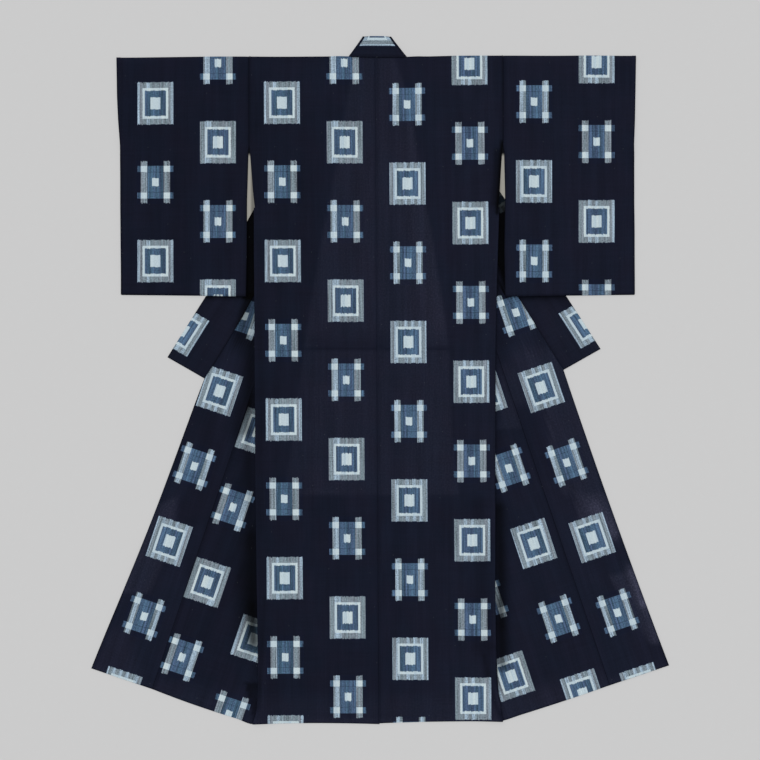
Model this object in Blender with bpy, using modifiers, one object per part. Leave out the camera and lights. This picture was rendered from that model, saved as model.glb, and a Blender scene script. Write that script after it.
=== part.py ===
"""A kimono laid flat with its back up and its fronts opened out to the sides.

Units are metres. +X is to the right of someone who looks down at the back, +Y points to the collar, and the
floor is z = 0. Left and right are the looker's. Every piece is an open sheet at the middle of its cloth, made
of grids that are bent into place, and Solidify gives it the cloth's thickness.

The layers, from the floor up: the collar's arms, the overlap panels and the opened-out part of each front;
then the part of each front that lies under the back; then the back. A sleeve is a flat tube beside them.
"""

import math
from collections import namedtuple
from functools import partial

import bmesh
import bpy
from mathutils import Vector

Rung = namedtuple("Rung", "place free_x free_y width")
SideRow = namedtuple("SideRow", "y left_x right_x")
SleeveRow = namedtuple("SleeveRow", "y left_cuff_x left_body_x right_body_x right_cuff_x")
Front = namedtuple(
    "Front", "hem_corner okumi_hem fold_hem fold_top neck_x edge_sag hem_bow rung_degrees collar"
)

# Cloth
CLOTH = 0.0012
COLLAR_CLOTH = 0.0024
AIR = 0.0015
SEAM_GAP = 0.0003
LAYER = CLOTH + AIR
COLLAR_LAYER = COLLAR_CLOTH + AIR
DRAPE = 0.060
FOLD_STEPS = 4
CORNER_STEPS = 2
FOLD_REACH = LAYER / 2 + CLOTH / 2

# Heights on the garment
SHOULDER_Y = 0.7752
NECK_SEAM_Y = SHOULDER_Y + SEAM_GAP
NAPE_ARCH = 0.0048
ARMHOLE_Y = 0.564
CUFF_Y = 0.546
VENT_Y = 0.4128
FOLD_TOP_Y = 0.6432
LEFT_HEM_Y = -0.8256
CENTRE_HEM_Y = -0.8226
RIGHT_HEM_Y = -0.8190
SLEEVE_BODY_HEM_Y = 0.2009
SLEEVE_CUFF_HEM_Y = 0.2047

# The centre back seam
SEAM_TOP_X = -0.0108
SEAM_HEM_X = -0.0012

# The back's side edges, one row for each height
BODY_SIDES = [
    SideRow(y=SHOULDER_Y, left_x=-0.3132, right_x=0.2940),
    SideRow(y=FOLD_TOP_Y, left_x=-0.3132, right_x=0.2940),
    SideRow(y=ARMHOLE_Y, left_x=-0.3132, right_x=0.2940),
    SideRow(y=0.456, left_x=-0.3048, right_x=0.2868),
    SideRow(y=VENT_Y, left_x=-0.3000, right_x=0.2832),
    SideRow(y=0.192, left_x=-0.2985, right_x=0.2767),
    SideRow(y=0.084, left_x=-0.2982, right_x=0.2748),
    SideRow(y=-0.288, left_x=-0.2961, right_x=0.2742),
    SideRow(y=-0.528, left_x=-0.2927, right_x=0.2740),
    SideRow(y=-0.648, left_x=-0.2908, right_x=0.2764),
    SideRow(y=-0.744, left_x=-0.2896, right_x=0.2812),
    SideRow(y=-0.797, left_x=-0.2940, right_x=0.2880),
    SideRow(y=LEFT_HEM_Y, left_x=-0.3028, right_x=0.2920),
]

# The sleeves' cuff and body edges, one row for each height
SLEEVE_EDGES = [
    SleeveRow(y=SHOULDER_Y, left_cuff_x=-0.6312, left_body_x=-0.3135, right_body_x=0.2943, right_cuff_x=0.6132),
    SleeveRow(y=0.684, left_cuff_x=-0.6307, left_body_x=-0.3135, right_body_x=0.2943, right_cuff_x=0.6125),
    SleeveRow(y=0.624, left_cuff_x=-0.6259, left_body_x=-0.3135, right_body_x=0.2943, right_cuff_x=0.6110),
    SleeveRow(y=ARMHOLE_Y, left_cuff_x=-0.6206, left_body_x=-0.3135, right_body_x=0.2943, right_cuff_x=0.6089),
    SleeveRow(y=CUFF_Y, left_cuff_x=-0.6200, left_body_x=-0.3155, right_body_x=0.2978, right_cuff_x=0.6082),
    SleeveRow(y=0.432, left_cuff_x=-0.6196, left_body_x=-0.3187, right_body_x=0.3000, right_cuff_x=0.6070),
    SleeveRow(y=0.312, left_cuff_x=-0.6200, left_body_x=-0.3192, right_body_x=0.2981, right_cuff_x=0.6075),
    SleeveRow(y=0.200, left_cuff_x=-0.6204, left_body_x=-0.3211, right_body_x=0.3000, right_cuff_x=0.6090),
]

# The fronts. edge_sag is how far the free edge bends in, hem_bow how far the hem bends out. A rung crosses the
# collar's arm from its free edge to its seam; at the neck and nape the band folds over and stands further out
FRONTS = {
    "left": Front(
        hem_corner=(-0.6912, -0.6912),
        okumi_hem=(-0.5453, -0.7409),
        fold_hem=(-0.2968, LEFT_HEM_Y),
        fold_top=(-0.0588, FOLD_TOP_Y),
        neck_x=-0.0744,
        edge_sag=0.0034,
        hem_bow=0.0034,
        rung_degrees=-29.8,
        collar=[
            Rung("tip", free_x=-0.5100, free_y=0.0545, width=0.1023),
            Rung("sleeve hem", free_x=-0.4183, free_y=0.2004, width=0.1003),
            Rung("side", free_x=-0.3019, free_y=0.4114, width=0.0960),
            Rung("okumi top", free_x=-0.1906, free_y=0.5887, width=0.0874),
            Rung("neck", free_x=-0.0700, free_y=NECK_SEAM_Y, width=0.0480),
            Rung("nape", free_x=-0.0381, free_y=0.8207, width=0.0300),
        ],
    ),
    "right": Front(
        hem_corner=(0.6912, -0.6833),
        okumi_hem=(0.5496, -0.7315),
        fold_hem=(0.2860, RIGHT_HEM_Y),
        fold_top=(0.0468, FOLD_TOP_Y),
        neck_x=0.0624,
        edge_sag=0.0024,
        hem_bow=0.0010,
        rung_degrees=207.2,
        collar=[
            Rung("tip", free_x=0.5292, free_y=0.0744, width=0.1013),
            Rung("sleeve hem", free_x=0.4471, free_y=0.2009, width=0.0984),
            Rung("side", free_x=0.3000, free_y=0.4332, width=0.0960),
            Rung("okumi top", free_x=0.1954, free_y=0.5846, width=0.0874),
            Rung("neck", free_x=0.0590, free_y=NECK_SEAM_Y, width=0.0480),
            Rung("nape", free_x=0.0235, free_y=0.8207, width=0.0300),
        ],
    ),
}
OKUMI_TOP_RUNG = 3
NECK_RUNG = 4
NAPE_RUNG = 5
FRONT_TOP_INDEX = 3.5

# How finely each piece is divided
LONGEST_ROW = 0.065
UNDER_COLUMNS = 12
NECK_COLUMNS = 4
OPENED_COLUMNS = 5
SLEEVE_COLUMNS = 10
OKUMI_COLUMNS_PER_RUNG = 2
OKUMI_ROWS = 12
COLLAR_COLUMNS = 3
NAPE_COLUMNS = 10
ARM_ROWS = (2, 3, 3, 3, COLLAR_COLUMNS)

# Finishes
COLLECTION = "kimono"
CLOTH_ROUGHNESS = 0.85
CLOTH_COLOURS = {
    "body": (0.013, 0.016, 0.030, 1.0),
    "sleeve": (0.011, 0.013, 0.025, 1.0),
    "okumi": (0.012, 0.014, 0.027, 1.0),
    "collar": (0.010, 0.012, 0.023, 1.0),
}


def mix(a, b, share):
    return a * (1.0 - share) + b * share


def bow(share):
    """A shallow curve between two ends: 0 at both and 1 half way."""
    return 4.0 * share * (1.0 - share)


def clamp(value):
    return min(1.0, max(0.0, value))


def column_at(rows, column, y):
    """Reads a table's column at height y. The table's heights run from top to bottom."""
    for above, below in zip(rows, rows[1:]):
        if y >= below.y:
            share = clamp((above.y - y) / (above.y - below.y))
            return mix(getattr(above, column), getattr(below, column), share)
    return getattr(rows[-1], column)


def point_at(points, index):
    """The point at a fractional index of a list of points."""
    low = min(int(index + 1e-9), len(points) - 2)
    return points[low].lerp(points[low + 1], index - low)


def steps(counts):
    """Fractional indices that divide interval i of a table into counts[i] equal parts."""
    found = [0.0]
    for interval, count in enumerate(counts):
        found += [interval + (k + 1) / count for k in range(count)]
    return found


def even(count):
    return [k / count for k in range(count + 1)]


def heights_of(rows, low, high):
    """A table's heights from low to high, with more between them where two lie further apart than LONGEST_ROW."""
    marks = sorted({low, high, *(row.y for row in rows if low < row.y < high)})
    found = [marks[0]]
    for start, end in zip(marks, marks[1:]):
        count = max(1, math.ceil((end - start) / LONGEST_ROW - 1e-9))
        found += [mix(start, end, (k + 1) / count) for k in range(count)]
    return found


def free_point(rung):
    return Vector((rung.free_x, rung.free_y))


def rung_direction(front):
    angle = math.radians(front.rung_degrees)
    return Vector((math.cos(angle), math.sin(angle)))


def seam_points(front, beyond=0.0):
    """The collar arm's seam, or the edge of what is sewn to it where beyond is the gap."""
    across = rung_direction(front)
    return [free_point(rung) + across * (rung.width + beyond) for rung in front.collar]


def fold_line(front, reach=0.0):
    """The ends of the fold under the back, hem first, moved by reach towards the centre."""
    hem = Vector(front.fold_hem)
    top = Vector(front.fold_top)
    inwards = Vector((-math.copysign(reach, front.neck_x), 0.0))
    return [hem + inwards, top + inwards]


def side_column(front):
    return "left_x" if front.neck_x < 0 else "right_x"


def arm_outline(front):
    free = [free_point(rung) for rung in front.collar]
    return free + seam_points(front)[::-1]


def opened_outline(front):
    """What lies on the floor beside the collar's arm: the overlap panel and the opened-out front."""
    seam = seam_points(front)
    shown = seam[: OKUMI_TOP_RUNG + 1] + [point_at(seam, FRONT_TOP_INDEX)]
    hem = [Vector(front.hem_corner), Vector(front.okumi_hem)]
    return hem + fold_line(front, FOLD_REACH * 2) + shown[::-1]


def under_outline(front):
    """The part of the front that lies between the back and the opened-out part."""
    column = side_column(front)
    edge = [Vector((getattr(row, column), row.y)) for row in BODY_SIDES]
    return [Vector((front.neck_x, SHOULDER_Y)), *edge, *fold_line(front, FOLD_REACH * 2)]


def distance_outside(point, outline):
    """How far the point is outside a closed outline, or 0 inside it."""
    inside = False
    nearest = math.inf
    for a, b in zip(outline, outline[1:] + outline[:1]):
        if (a.y > point.y) != (b.y > point.y):
            if point.x < mix(a.x, b.x, (point.y - a.y) / (b.y - a.y)):
                inside = not inside
        along = b - a
        share = clamp((point - a).dot(along) / along.length_squared)
        nearest = min(nearest, (a + along * share - point).length)
    return 0.0 if inside else nearest


def drape(point, outline):
    """1 on the outline's area and 0 further from it than DRAPE, as cloth that bridges down beside an edge."""
    away = clamp(distance_outside(point, outline) / DRAPE)
    return 1.0 - away * away * (3.0 - 2.0 * away)


ARMS = [arm_outline(front) for front in FRONTS.values()]
OPENED = [opened_outline(front) for front in FRONTS.values()]
UNDER = [under_outline(front) for front in FRONTS.values()]


def lower_z(point):
    """The underside of a layer that lies on what is on the floor."""
    on_arms = max(drape(point, outline) for outline in ARMS)
    on_fronts = max(drape(point, outline) for outline in OPENED)
    return max(COLLAR_LAYER * on_arms, LAYER * on_fronts)


def upper_z(point):
    """The underside of the back, which lies on the fronts' parts under it."""
    return lower_z(point) + LAYER * max(drape(point, outline) for outline in UNDER)


def raised(point, z):
    """A point of a sheet's middle, above where its underside lies."""
    return Vector((point.x, point.y, z + CLOTH / 2))


def add_patch(sheet, across, along, place):
    """Adds a grid whose points place() puts where their values of across and along say."""
    made = bmesh.ops.create_grid(
        sheet, x_segments=len(across) - 1, y_segments=len(along) - 1, size=0.5
    )
    for vert in made["verts"]:
        i = round((vert.co.x + 0.5) * (len(across) - 1))
        j = round((vert.co.y + 0.5) * (len(along) - 1))
        vert.co = place(across[i], along[j])


def add_fold(sheet, along, upper, lower, outwards):
    """Joins the edges of two layers by a half round that stands outwards from them."""

    def place(turn, value):
        top = upper(value)
        bottom = lower(value)
        radius = (top.z - bottom.z) / 2
        angle = math.pi * turn
        round_z = Vector((0.0, 0.0, radius * math.cos(angle)))
        return (top + bottom) / 2 + round_z + outwards * radius * math.sin(angle)

    add_patch(sheet, even(FOLD_STEPS), along, place)


def finished(name, sheet, thickness, finish):
    """Welds the sheet's grids and gives it its thickness and finish."""
    bmesh.ops.remove_doubles(sheet, verts=sheet.verts, dist=1e-5)
    bmesh.ops.recalc_face_normals(sheet, faces=sheet.faces)
    mesh = bpy.data.meshes.new(name)
    sheet.to_mesh(mesh)
    sheet.free()
    piece = bpy.data.objects.new(name, mesh)
    bpy.data.collections[COLLECTION].objects.link(piece)
    wall = piece.modifiers.new("cloth", "SOLIDIFY")
    wall.thickness = thickness
    wall.offset = 0.0
    wall.use_even_offset = True
    mesh.materials.append(finish)
    return piece


def cloth_finish(name, colour):
    """A plain finish: a Principled BSDF with the cloth's colour."""
    finish = bpy.data.materials.new(name)
    finish.use_nodes = True
    shader = finish.node_tree.nodes["Principled BSDF"]
    shader.inputs["Base Color"].default_value = colour
    shader.inputs["Roughness"].default_value = CLOTH_ROUGHNESS
    shader.inputs["Metallic"].default_value = 0.0
    return finish


def centre_x(y):
    return mix(SEAM_HEM_X, SEAM_TOP_X, (y - LEFT_HEM_Y) / (SHOULDER_Y - LEFT_HEM_Y))


class BodyShape:
    """Where one body length lies: up the back, over the shoulder, down under the back, and out to the side."""

    def __init__(self, front):
        self.front = front
        self.column = side_column(front)
        self.inwards = -math.copysign(1.0, front.neck_x)
        self.hem = front.fold_hem[1]
        self.top = SHOULDER_Y - FOLD_REACH
        self.fold_ends = fold_line(front)
        self.neck_share = self.share_of_back(front.neck_x)
        boundary = seam_points(front, SEAM_GAP)
        gap = Vector((self.inwards * SEAM_GAP, 0.0))
        hem_end = Vector(front.okumi_hem) + gap
        bend = boundary[OKUMI_TOP_RUNG] + gap
        self.outer_line = [hem_end, bend, point_at(boundary, FRONT_TOP_INDEX)]
        lengths = [(b - a).length for a, b in zip(self.outer_line, self.outer_line[1:])]
        self.bend_share = lengths[0] / sum(lengths)

    def share_of_back(self, x):
        """How far x is from the side edge to the centre seam at the shoulder."""
        side = self.side_point(self.top).x
        return (x - side) / (self.centre(self.top) - side)

    def centre(self, y):
        """The edge at the centre back seam."""
        x = mix(SEAM_HEM_X, SEAM_TOP_X, (y - LEFT_HEM_Y) / (SHOULDER_Y - LEFT_HEM_Y))
        return x - self.inwards * SEAM_GAP / 2

    def side_point(self, y):
        return Vector((column_at(BODY_SIDES, self.column, y), y))

    def inner_point(self, y):
        """The inner edge of the part under the back: the fold, and above it the neck's edge."""
        fold_hem, fold_top = self.fold_ends
        if y <= FOLD_TOP_Y:
            return fold_hem.lerp(fold_top, (y - self.hem) / (FOLD_TOP_Y - self.hem))
        share = (y - FOLD_TOP_Y) / (SHOULDER_Y - FOLD_TOP_Y)
        return fold_top.lerp(Vector((self.front.neck_x, SHOULDER_Y)), share)

    def outer_point(self, y):
        """The outer edge of the opened-out part: the okumi seam, and above it the collar seam."""
        share = (y - self.hem) / (FOLD_TOP_Y - self.hem)
        if share <= self.bend_share:
            return point_at(self.outer_line, share / self.bend_share)
        return point_at(self.outer_line, 1.0 + (share - self.bend_share) / (1.0 - self.bend_share))

    def back(self, share, y):
        """The back, from the side edge at share 0 to the centre seam at share 1."""
        x = mix(self.side_point(y).x, self.centre(y), share)
        lift = (CENTRE_HEM_Y - self.hem) * share * clamp((VENT_Y - y) / (VENT_Y - self.hem))
        reaches_neck_seam = y == self.top and share > self.neck_share
        point = Vector((x, SHOULDER_Y if reaches_neck_seam else y + lift))
        return raised(point, upper_z(point))

    def under(self, share, y):
        """The part of the front under the back, from the side edge to the fold."""
        point = self.side_point(y).lerp(self.inner_point(y), share)
        return raised(point, lower_z(point))

    def opened(self, share, y):
        """The part of the front that is opened out on the floor, from its seams to the fold."""
        point = self.outer_point(y).lerp(self.inner_point(y), share)
        if y == self.hem:
            point.y -= self.front.hem_bow * bow(share)
        return raised(point, 0.0)


def make_body(side, front, finish):
    """A body length: the back, the front's part under it and its opened-out part, joined by three folds."""
    sheet = bmesh.new()
    body = BodyShape(front)
    rows = heights_of(BODY_SIDES, body.hem, body.top)
    fold_rows = [y for y in rows if y <= FOLD_TOP_Y + 1e-9]
    seam_rows = [y for y in rows if y <= VENT_Y + 1e-9]
    neck_shares = [mix(body.neck_share, 1.0, share) for share in even(NECK_COLUMNS)]
    shoulder_shares = [body.neck_share * share for share in even(UNDER_COLUMNS)]
    inwards = Vector((body.inwards, 0.0, 0.0))

    def shoulder_back(share):
        return body.back(body.neck_share * share, body.top)

    def shoulder_under(share):
        return body.under(share, body.top)

    add_patch(sheet, shoulder_shares, rows, body.back)
    add_patch(sheet, neck_shares, rows, body.back)
    add_patch(sheet, even(UNDER_COLUMNS), rows, body.under)
    add_patch(sheet, even(OPENED_COLUMNS), fold_rows, body.opened)
    add_fold(sheet, even(UNDER_COLUMNS), shoulder_back, shoulder_under, Vector((0.0, 1.0, 0.0)))
    add_fold(sheet, fold_rows, partial(body.under, 1.0), partial(body.opened, 1.0), inwards)
    add_fold(sheet, seam_rows, partial(body.back, 0.0), partial(body.under, 0.0), -inwards)
    return finished(f"body_{side}", sheet, CLOTH, finish)


def make_sleeve(side, finish):
    """A flat tube, folded at the shoulder, sewn along its hem and up its outer edge to the cuff."""
    sheet = bmesh.new()
    outwards = -1.0 if side == "left" else 1.0
    cuff_column = f"{side}_cuff_x"
    body_column = f"{side}_body_x"
    top = SHOULDER_Y - FOLD_REACH
    foot = SLEEVE_EDGES[-1].y
    rows = heights_of(SLEEVE_EDGES, foot, top)
    closed_rows = [y for y in rows if y <= CUFF_Y + 1e-9]
    shares = even(SLEEVE_COLUMNS)

    def layer(lift, share, y):
        x = mix(column_at(SLEEVE_EDGES, cuff_column, y), column_at(SLEEVE_EDGES, body_column, y), share)
        if y == foot:
            y = mix(SLEEVE_CUFF_HEM_Y, SLEEVE_BODY_HEM_Y, share) + FOLD_REACH
        point = Vector((x, y))
        return raised(point, lower_z(point) + lift)

    upper = partial(layer, LAYER)
    lower = partial(layer, 0.0)
    add_patch(sheet, shares, rows, upper)
    add_patch(sheet, shares, rows, lower)
    add_fold(sheet, shares, partial(upper, y=top), partial(lower, y=top), Vector((0.0, 1.0, 0.0)))
    add_fold(sheet, shares, partial(upper, y=foot), partial(lower, y=foot), Vector((0.0, -1.0, 0.0)))
    add_fold(sheet, closed_rows, partial(upper, 0.0), partial(lower, 0.0), Vector((outwards, 0.0, 0.0)))
    close_corner(sheet, upper(0.0, foot), lower(0.0, foot), outwards)
    return finished(f"sleeve_{side}", sheet, CLOTH, finish)


def close_corner(sheet, upper, lower, outwards):
    """Turns the half round of a sleeve's hem into that of its outer edge, round the corner between them."""
    radius = (upper.z - lower.z) / 2
    middle = (upper + lower) / 2

    def place(turn, swing):
        angle = math.pi * turn
        heading = math.pi / 2 * swing
        reach = radius * math.sin(angle)
        flat = Vector((outwards * math.sin(heading), -math.cos(heading), 0.0)) * reach
        return middle + flat + Vector((0.0, 0.0, radius * math.cos(angle)))

    add_patch(sheet, even(FOLD_STEPS), even(CORNER_STEPS), place)


def make_okumi(side, front, finish):
    """The overlap panel: from the hem up to the collar, between the front's edge and the okumi seam."""
    sheet = bmesh.new()
    top_edge = seam_points(front, SEAM_GAP)[: OKUMI_TOP_RUNG + 1]
    hem_ends = [Vector(front.hem_corner), Vector(front.okumi_hem)]

    def place(share, rise):
        hem = hem_ends[0].lerp(hem_ends[1], share)
        top = point_at(top_edge, share * OKUMI_TOP_RUNG)
        point = hem.lerp(top, rise)
        point.x -= math.copysign(front.edge_sag, front.neck_x) * bow(rise) * (1.0 - share)
        return raised(point, 0.0)

    columns = OKUMI_COLUMNS_PER_RUNG * OKUMI_TOP_RUNG
    add_patch(sheet, even(columns), even(OKUMI_ROWS), place)
    return finished(f"okumi_{side}", sheet, CLOTH, finish)


def make_collar(finish):
    """One band: an arm on the floor at each side, folded over to the stretch that stands at the nape."""
    sheet = bmesh.new()

    def collar_point(point, z):
        return Vector((point.x, point.y, z + COLLAR_CLOTH / 2))

    def arm(free, seam, share, index):
        return collar_point(point_at(free, index).lerp(point_at(seam, index), share), 0.0)

    neck_ends = []
    nape_ends = []
    for front in FRONTS.values():
        free = [free_point(rung) for rung in front.collar]
        seam = seam_points(front)
        neck_ends.append(free[NECK_RUNG])
        nape_ends.append(free[NAPE_RUNG])
        add_patch(sheet, even(COLLAR_COLUMNS), steps(ARM_ROWS), partial(arm, free, seam))

    def nape(across, rise):
        low = neck_ends[0].lerp(neck_ends[1], across)
        high = nape_ends[0].lerp(nape_ends[1], across)
        high.y += NAPE_ARCH * (1.0 - (2.0 * across - 1.0) ** 4)
        point = low.lerp(high, rise)
        return collar_point(point, upper_z(point))

    def below_nape(end, rise):
        return collar_point(neck_ends[end].lerp(nape_ends[end], rise), 0.0)

    add_patch(sheet, even(NAPE_COLUMNS), even(COLLAR_COLUMNS), nape)
    for end in (0, 1):
        outwards = Vector((2.0 * end - 1.0, 0.0, 0.0))
        add_fold(sheet, even(COLLAR_COLUMNS), partial(nape, end), partial(below_nape, end), outwards)
    return finished("collar", sheet, COLLAR_CLOTH, finish)


def main():
    for leftover in list(bpy.data.objects):
        bpy.data.objects.remove(leftover)
    bpy.context.scene.collection.children.link(bpy.data.collections.new(COLLECTION))
    cloth = {name: cloth_finish(f"{name}_cotton", colour) for name, colour in CLOTH_COLOURS.items()}
    for side, front in FRONTS.items():
        make_body(side, front, cloth["body"])
        make_sleeve(side, cloth["sleeve"])
        make_okumi(side, front, cloth["okumi"])
    make_collar(cloth["collar"])


main()
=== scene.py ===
"""A kimono laid flat with its back up: its cloths, seams, stitches and woven figures.

Units are metres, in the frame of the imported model: +X to the right of someone who looks down at the back, +Y
to the collar, the floor at z = 0. Left and right are the looker's. Each cloth is one sheet of fine grids,
bent into place along the same edges, folds and layer heights as the model's solids. Solidify gives it its
thickness.
"""

import math
from collections import namedtuple

import bmesh
import bpy
import numpy as np
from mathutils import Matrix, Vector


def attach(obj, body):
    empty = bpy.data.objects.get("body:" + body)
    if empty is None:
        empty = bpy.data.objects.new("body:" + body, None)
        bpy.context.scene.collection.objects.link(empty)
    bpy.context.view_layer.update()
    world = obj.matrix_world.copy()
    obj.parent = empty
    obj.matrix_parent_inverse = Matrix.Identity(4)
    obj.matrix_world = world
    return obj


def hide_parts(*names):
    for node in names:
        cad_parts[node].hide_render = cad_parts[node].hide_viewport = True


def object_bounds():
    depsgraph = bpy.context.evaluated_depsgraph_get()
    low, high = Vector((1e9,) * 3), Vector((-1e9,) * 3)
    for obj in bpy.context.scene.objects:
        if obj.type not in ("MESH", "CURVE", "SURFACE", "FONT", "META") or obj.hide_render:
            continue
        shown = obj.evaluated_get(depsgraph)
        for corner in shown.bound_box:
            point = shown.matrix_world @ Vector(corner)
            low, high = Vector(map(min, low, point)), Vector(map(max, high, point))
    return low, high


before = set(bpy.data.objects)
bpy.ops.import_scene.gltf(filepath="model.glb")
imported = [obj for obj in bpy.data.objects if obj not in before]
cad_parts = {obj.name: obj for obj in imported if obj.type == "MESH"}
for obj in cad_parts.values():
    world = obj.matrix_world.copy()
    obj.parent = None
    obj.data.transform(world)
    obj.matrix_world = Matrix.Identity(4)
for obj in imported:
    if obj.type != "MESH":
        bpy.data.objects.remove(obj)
cad_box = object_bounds()

bl_info = {
    "name": "Kimono Laid Flat",
    "version": (1, 0, 0),
    "blender": (4, 5, 0),
    "location": "3D View > Sidebar > Kimono",
    "description": "Makes a navy cotton kimono with resist-dyed figures, laid flat with its back up",
    "category": "Object",
}

Rung = namedtuple("Rung", "free_x free_y width turn", defaults=(0.0,))
Front = namedtuple(
    "Front",
    "outwards hem_corner okumi_hem fold_hem fold_top neck_x edge_sag sag_power hem_bow hem_dip centre_hem_y "
    "back_hem_bow rung_degrees collar",
)


def table(columns, *rows):
    """Rows of numbers under named columns."""
    row = namedtuple("row", columns)
    return [row(*values) for values in rows]


class Spot(namedtuple("Spot", "width strength points")):
    """A part of the cloth with a shade, a light or a height of its own."""

    @classmethod
    def rows(cls, *rows):
        """Reads rows of a width, a strength, and x and y of each point. Widths and points are millimetres."""
        found = []
        for width, strength, *path in rows:
            points = [(x / 1000, y / 1000) for x, y in zip(path[::2], path[1::2])]
            found.append(cls(width / 1000, strength, points))
        return found


class Zone(Spot):
    """An area of shade or light. Its width is that of its soft edge."""

    def cover(self, x, y):
        return 1.0 - smooth(distance_outside(x, y, self.points) / self.width)


class Band(Spot):
    """A line of shade or light, or a crease with its height as its strength, that fades out to both sides."""

    def cover(self, x, y):
        return np.exp(-((distance_to(x, y, self.points) / self.width) ** 2))


# Cloth
CLOTH = 0.0012
COLLAR_CLOTH = 0.0024
AIR = 0.0015
SEAM_GAP = 0.0003
LAYER = CLOTH + AIR
COLLAR_LAYER = COLLAR_CLOTH + AIR
DRAPE = 0.06
FOLD_REACH = LAYER / 2 + CLOTH / 2

# Heights on the garment
SHOULDER_Y = 0.7752
TOP_Y = SHOULDER_Y - FOLD_REACH
NECK_SEAM_Y = SHOULDER_Y + SEAM_GAP
FOLD_TOP_Y = 0.6432
ARMHOLE_Y = 0.564
CUFF_Y = 0.546
VENT_Y = 0.4128
SLEEVE_FOOT_Y = 0.2
SLEEVE_BODY_HEM_Y = 0.2009
SLEEVE_CUFF_HEM_Y = 0.2047
TUCK_Y = 0.0725
RIGHT_HEM_Y = -0.819
LEFT_HEM_Y = -0.8256

# The centre back seam
SEAM_TOP_X = -0.0108
SEAM_HEM_X = -0.0012

# The back's side edges, one row for each height
BODY_SIDES = table(
    "y left_x right_x",
    (SHOULDER_Y, -0.3132, 0.294),
    (FOLD_TOP_Y, -0.3132, 0.294),
    (ARMHOLE_Y, -0.3132, 0.294),
    (0.456, -0.3048, 0.2868),
    (VENT_Y, -0.3, 0.2832),
    (0.192, -0.2985, 0.2767),
    (0.084, -0.2982, 0.2748),
    (-0.288, -0.2961, 0.2742),
    (-0.528, -0.2927, 0.274),
    (-0.648, -0.2908, 0.2764),
    (-0.744, -0.2896, 0.2812),
    (-0.797, -0.294, 0.288),
    (LEFT_HEM_Y, -0.3028, 0.292),
)

# The sleeves' cuff and body edges, one row for each height
SLEEVE_EDGES = table(
    "y left_cuff_x left_body_x right_body_x right_cuff_x",
    (SHOULDER_Y, -0.632, -0.3135, 0.2943, 0.6139),
    (0.684, -0.6306, -0.3135, 0.2943, 0.6124),
    (0.624, -0.6278, -0.3135, 0.2943, 0.6113),
    (ARMHOLE_Y, -0.6232, -0.3135, 0.2943, 0.6091),
    (CUFF_Y, -0.623, -0.3155, 0.2978, 0.6092),
    (0.432, -0.6222, -0.3187, 0.3, 0.6093),
    (0.312, -0.6214, -0.3192, 0.2981, 0.6099),
    (0.2, -0.6208, -0.3211, 0.3, 0.6108),
)

# How far the shoulder line lies off level
SHOULDER_OFFSETS = table(
    "x offset",
    (-0.62, -0.0028),
    (-0.5, -0.0014),
    (-0.4, -0.0002),
    (-0.07, -0.0004),
    (0.066, -0.001),
    (0.105, 0.0),
    (0.18, 0.0019),
    (0.24, 0.0022),
    (0.5, 0.0022),
    (0.61, 0.0014),
)

# The fronts, opened out on the floor. A rung crosses the collar's arm from its free edge to its seam: at the
# tip, the sleeve's hem, the side, the okumi's top, the neck and the nape
FRONTS = {
    "left": Front(
        outwards=-1.0,
        hem_corner=(-0.6925, -0.6916),
        okumi_hem=(-0.5453, -0.7419),
        fold_hem=(-0.2968, LEFT_HEM_Y),
        fold_top=(-0.0588, FOLD_TOP_Y),
        neck_x=-0.0744,
        edge_sag=0.006,
        sag_power=2,
        hem_bow=0.0038,
        hem_dip=0.0034,
        centre_hem_y=-0.8255,
        back_hem_bow=0.0026,
        rung_degrees=-29.8,
        collar=[
            Rung(-0.51, 0.0545, 0.1023),
            Rung(-0.4183, 0.2004, 0.1003),
            Rung(-0.3019, 0.4114, 0.096),
            Rung(-0.1906, 0.5887, 0.0874),
            Rung(-0.07, NECK_SEAM_Y, 0.048),
            Rung(-0.0381, 0.824, 0.03),
        ],
    ),
    "right": Front(
        outwards=1.0,
        hem_corner=(0.6934, -0.6845),
        okumi_hem=(0.5496, -0.7328),
        fold_hem=(0.286, RIGHT_HEM_Y),
        fold_top=(0.0468, FOLD_TOP_Y),
        neck_x=0.0624,
        edge_sag=0.0041,
        sag_power=1,
        hem_bow=0.0018,
        hem_dip=0.0012,
        centre_hem_y=-0.8235,
        back_hem_bow=0.0019,
        rung_degrees=207.2,
        collar=[
            Rung(0.5292, 0.0744, 0.102, 2.3),
            Rung(0.4471, 0.2009, 0.0984),
            Rung(0.3, 0.4332, 0.096),
            Rung(0.1954, 0.5846, 0.0874),
            Rung(0.059, NECK_SEAM_Y, 0.048),
            Rung(0.0235, 0.824, 0.03),
        ],
    ),
}
OKUMI_TOP_RUNG = 3
FRONT_TOP_INDEX = 3.5
NAPE_RUNG = 5

# The heights over which the shoulder line's offset fades in
OFFSET_FOOT_Y = 0.3
OFFSET_RISE = 0.4

# The lay of the cloth: slow waves of a hand-smoothed sheet
WAVES = table(
    "heading length share phase",
    (12.0, 0.31, 0.36, 0.3),
    (78.0, 0.24, 0.26, 1.9),
    (-38.0, 0.17, 0.22, 4.1),
    (55.0, 0.093, 0.16, 2.2),
)

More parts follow.
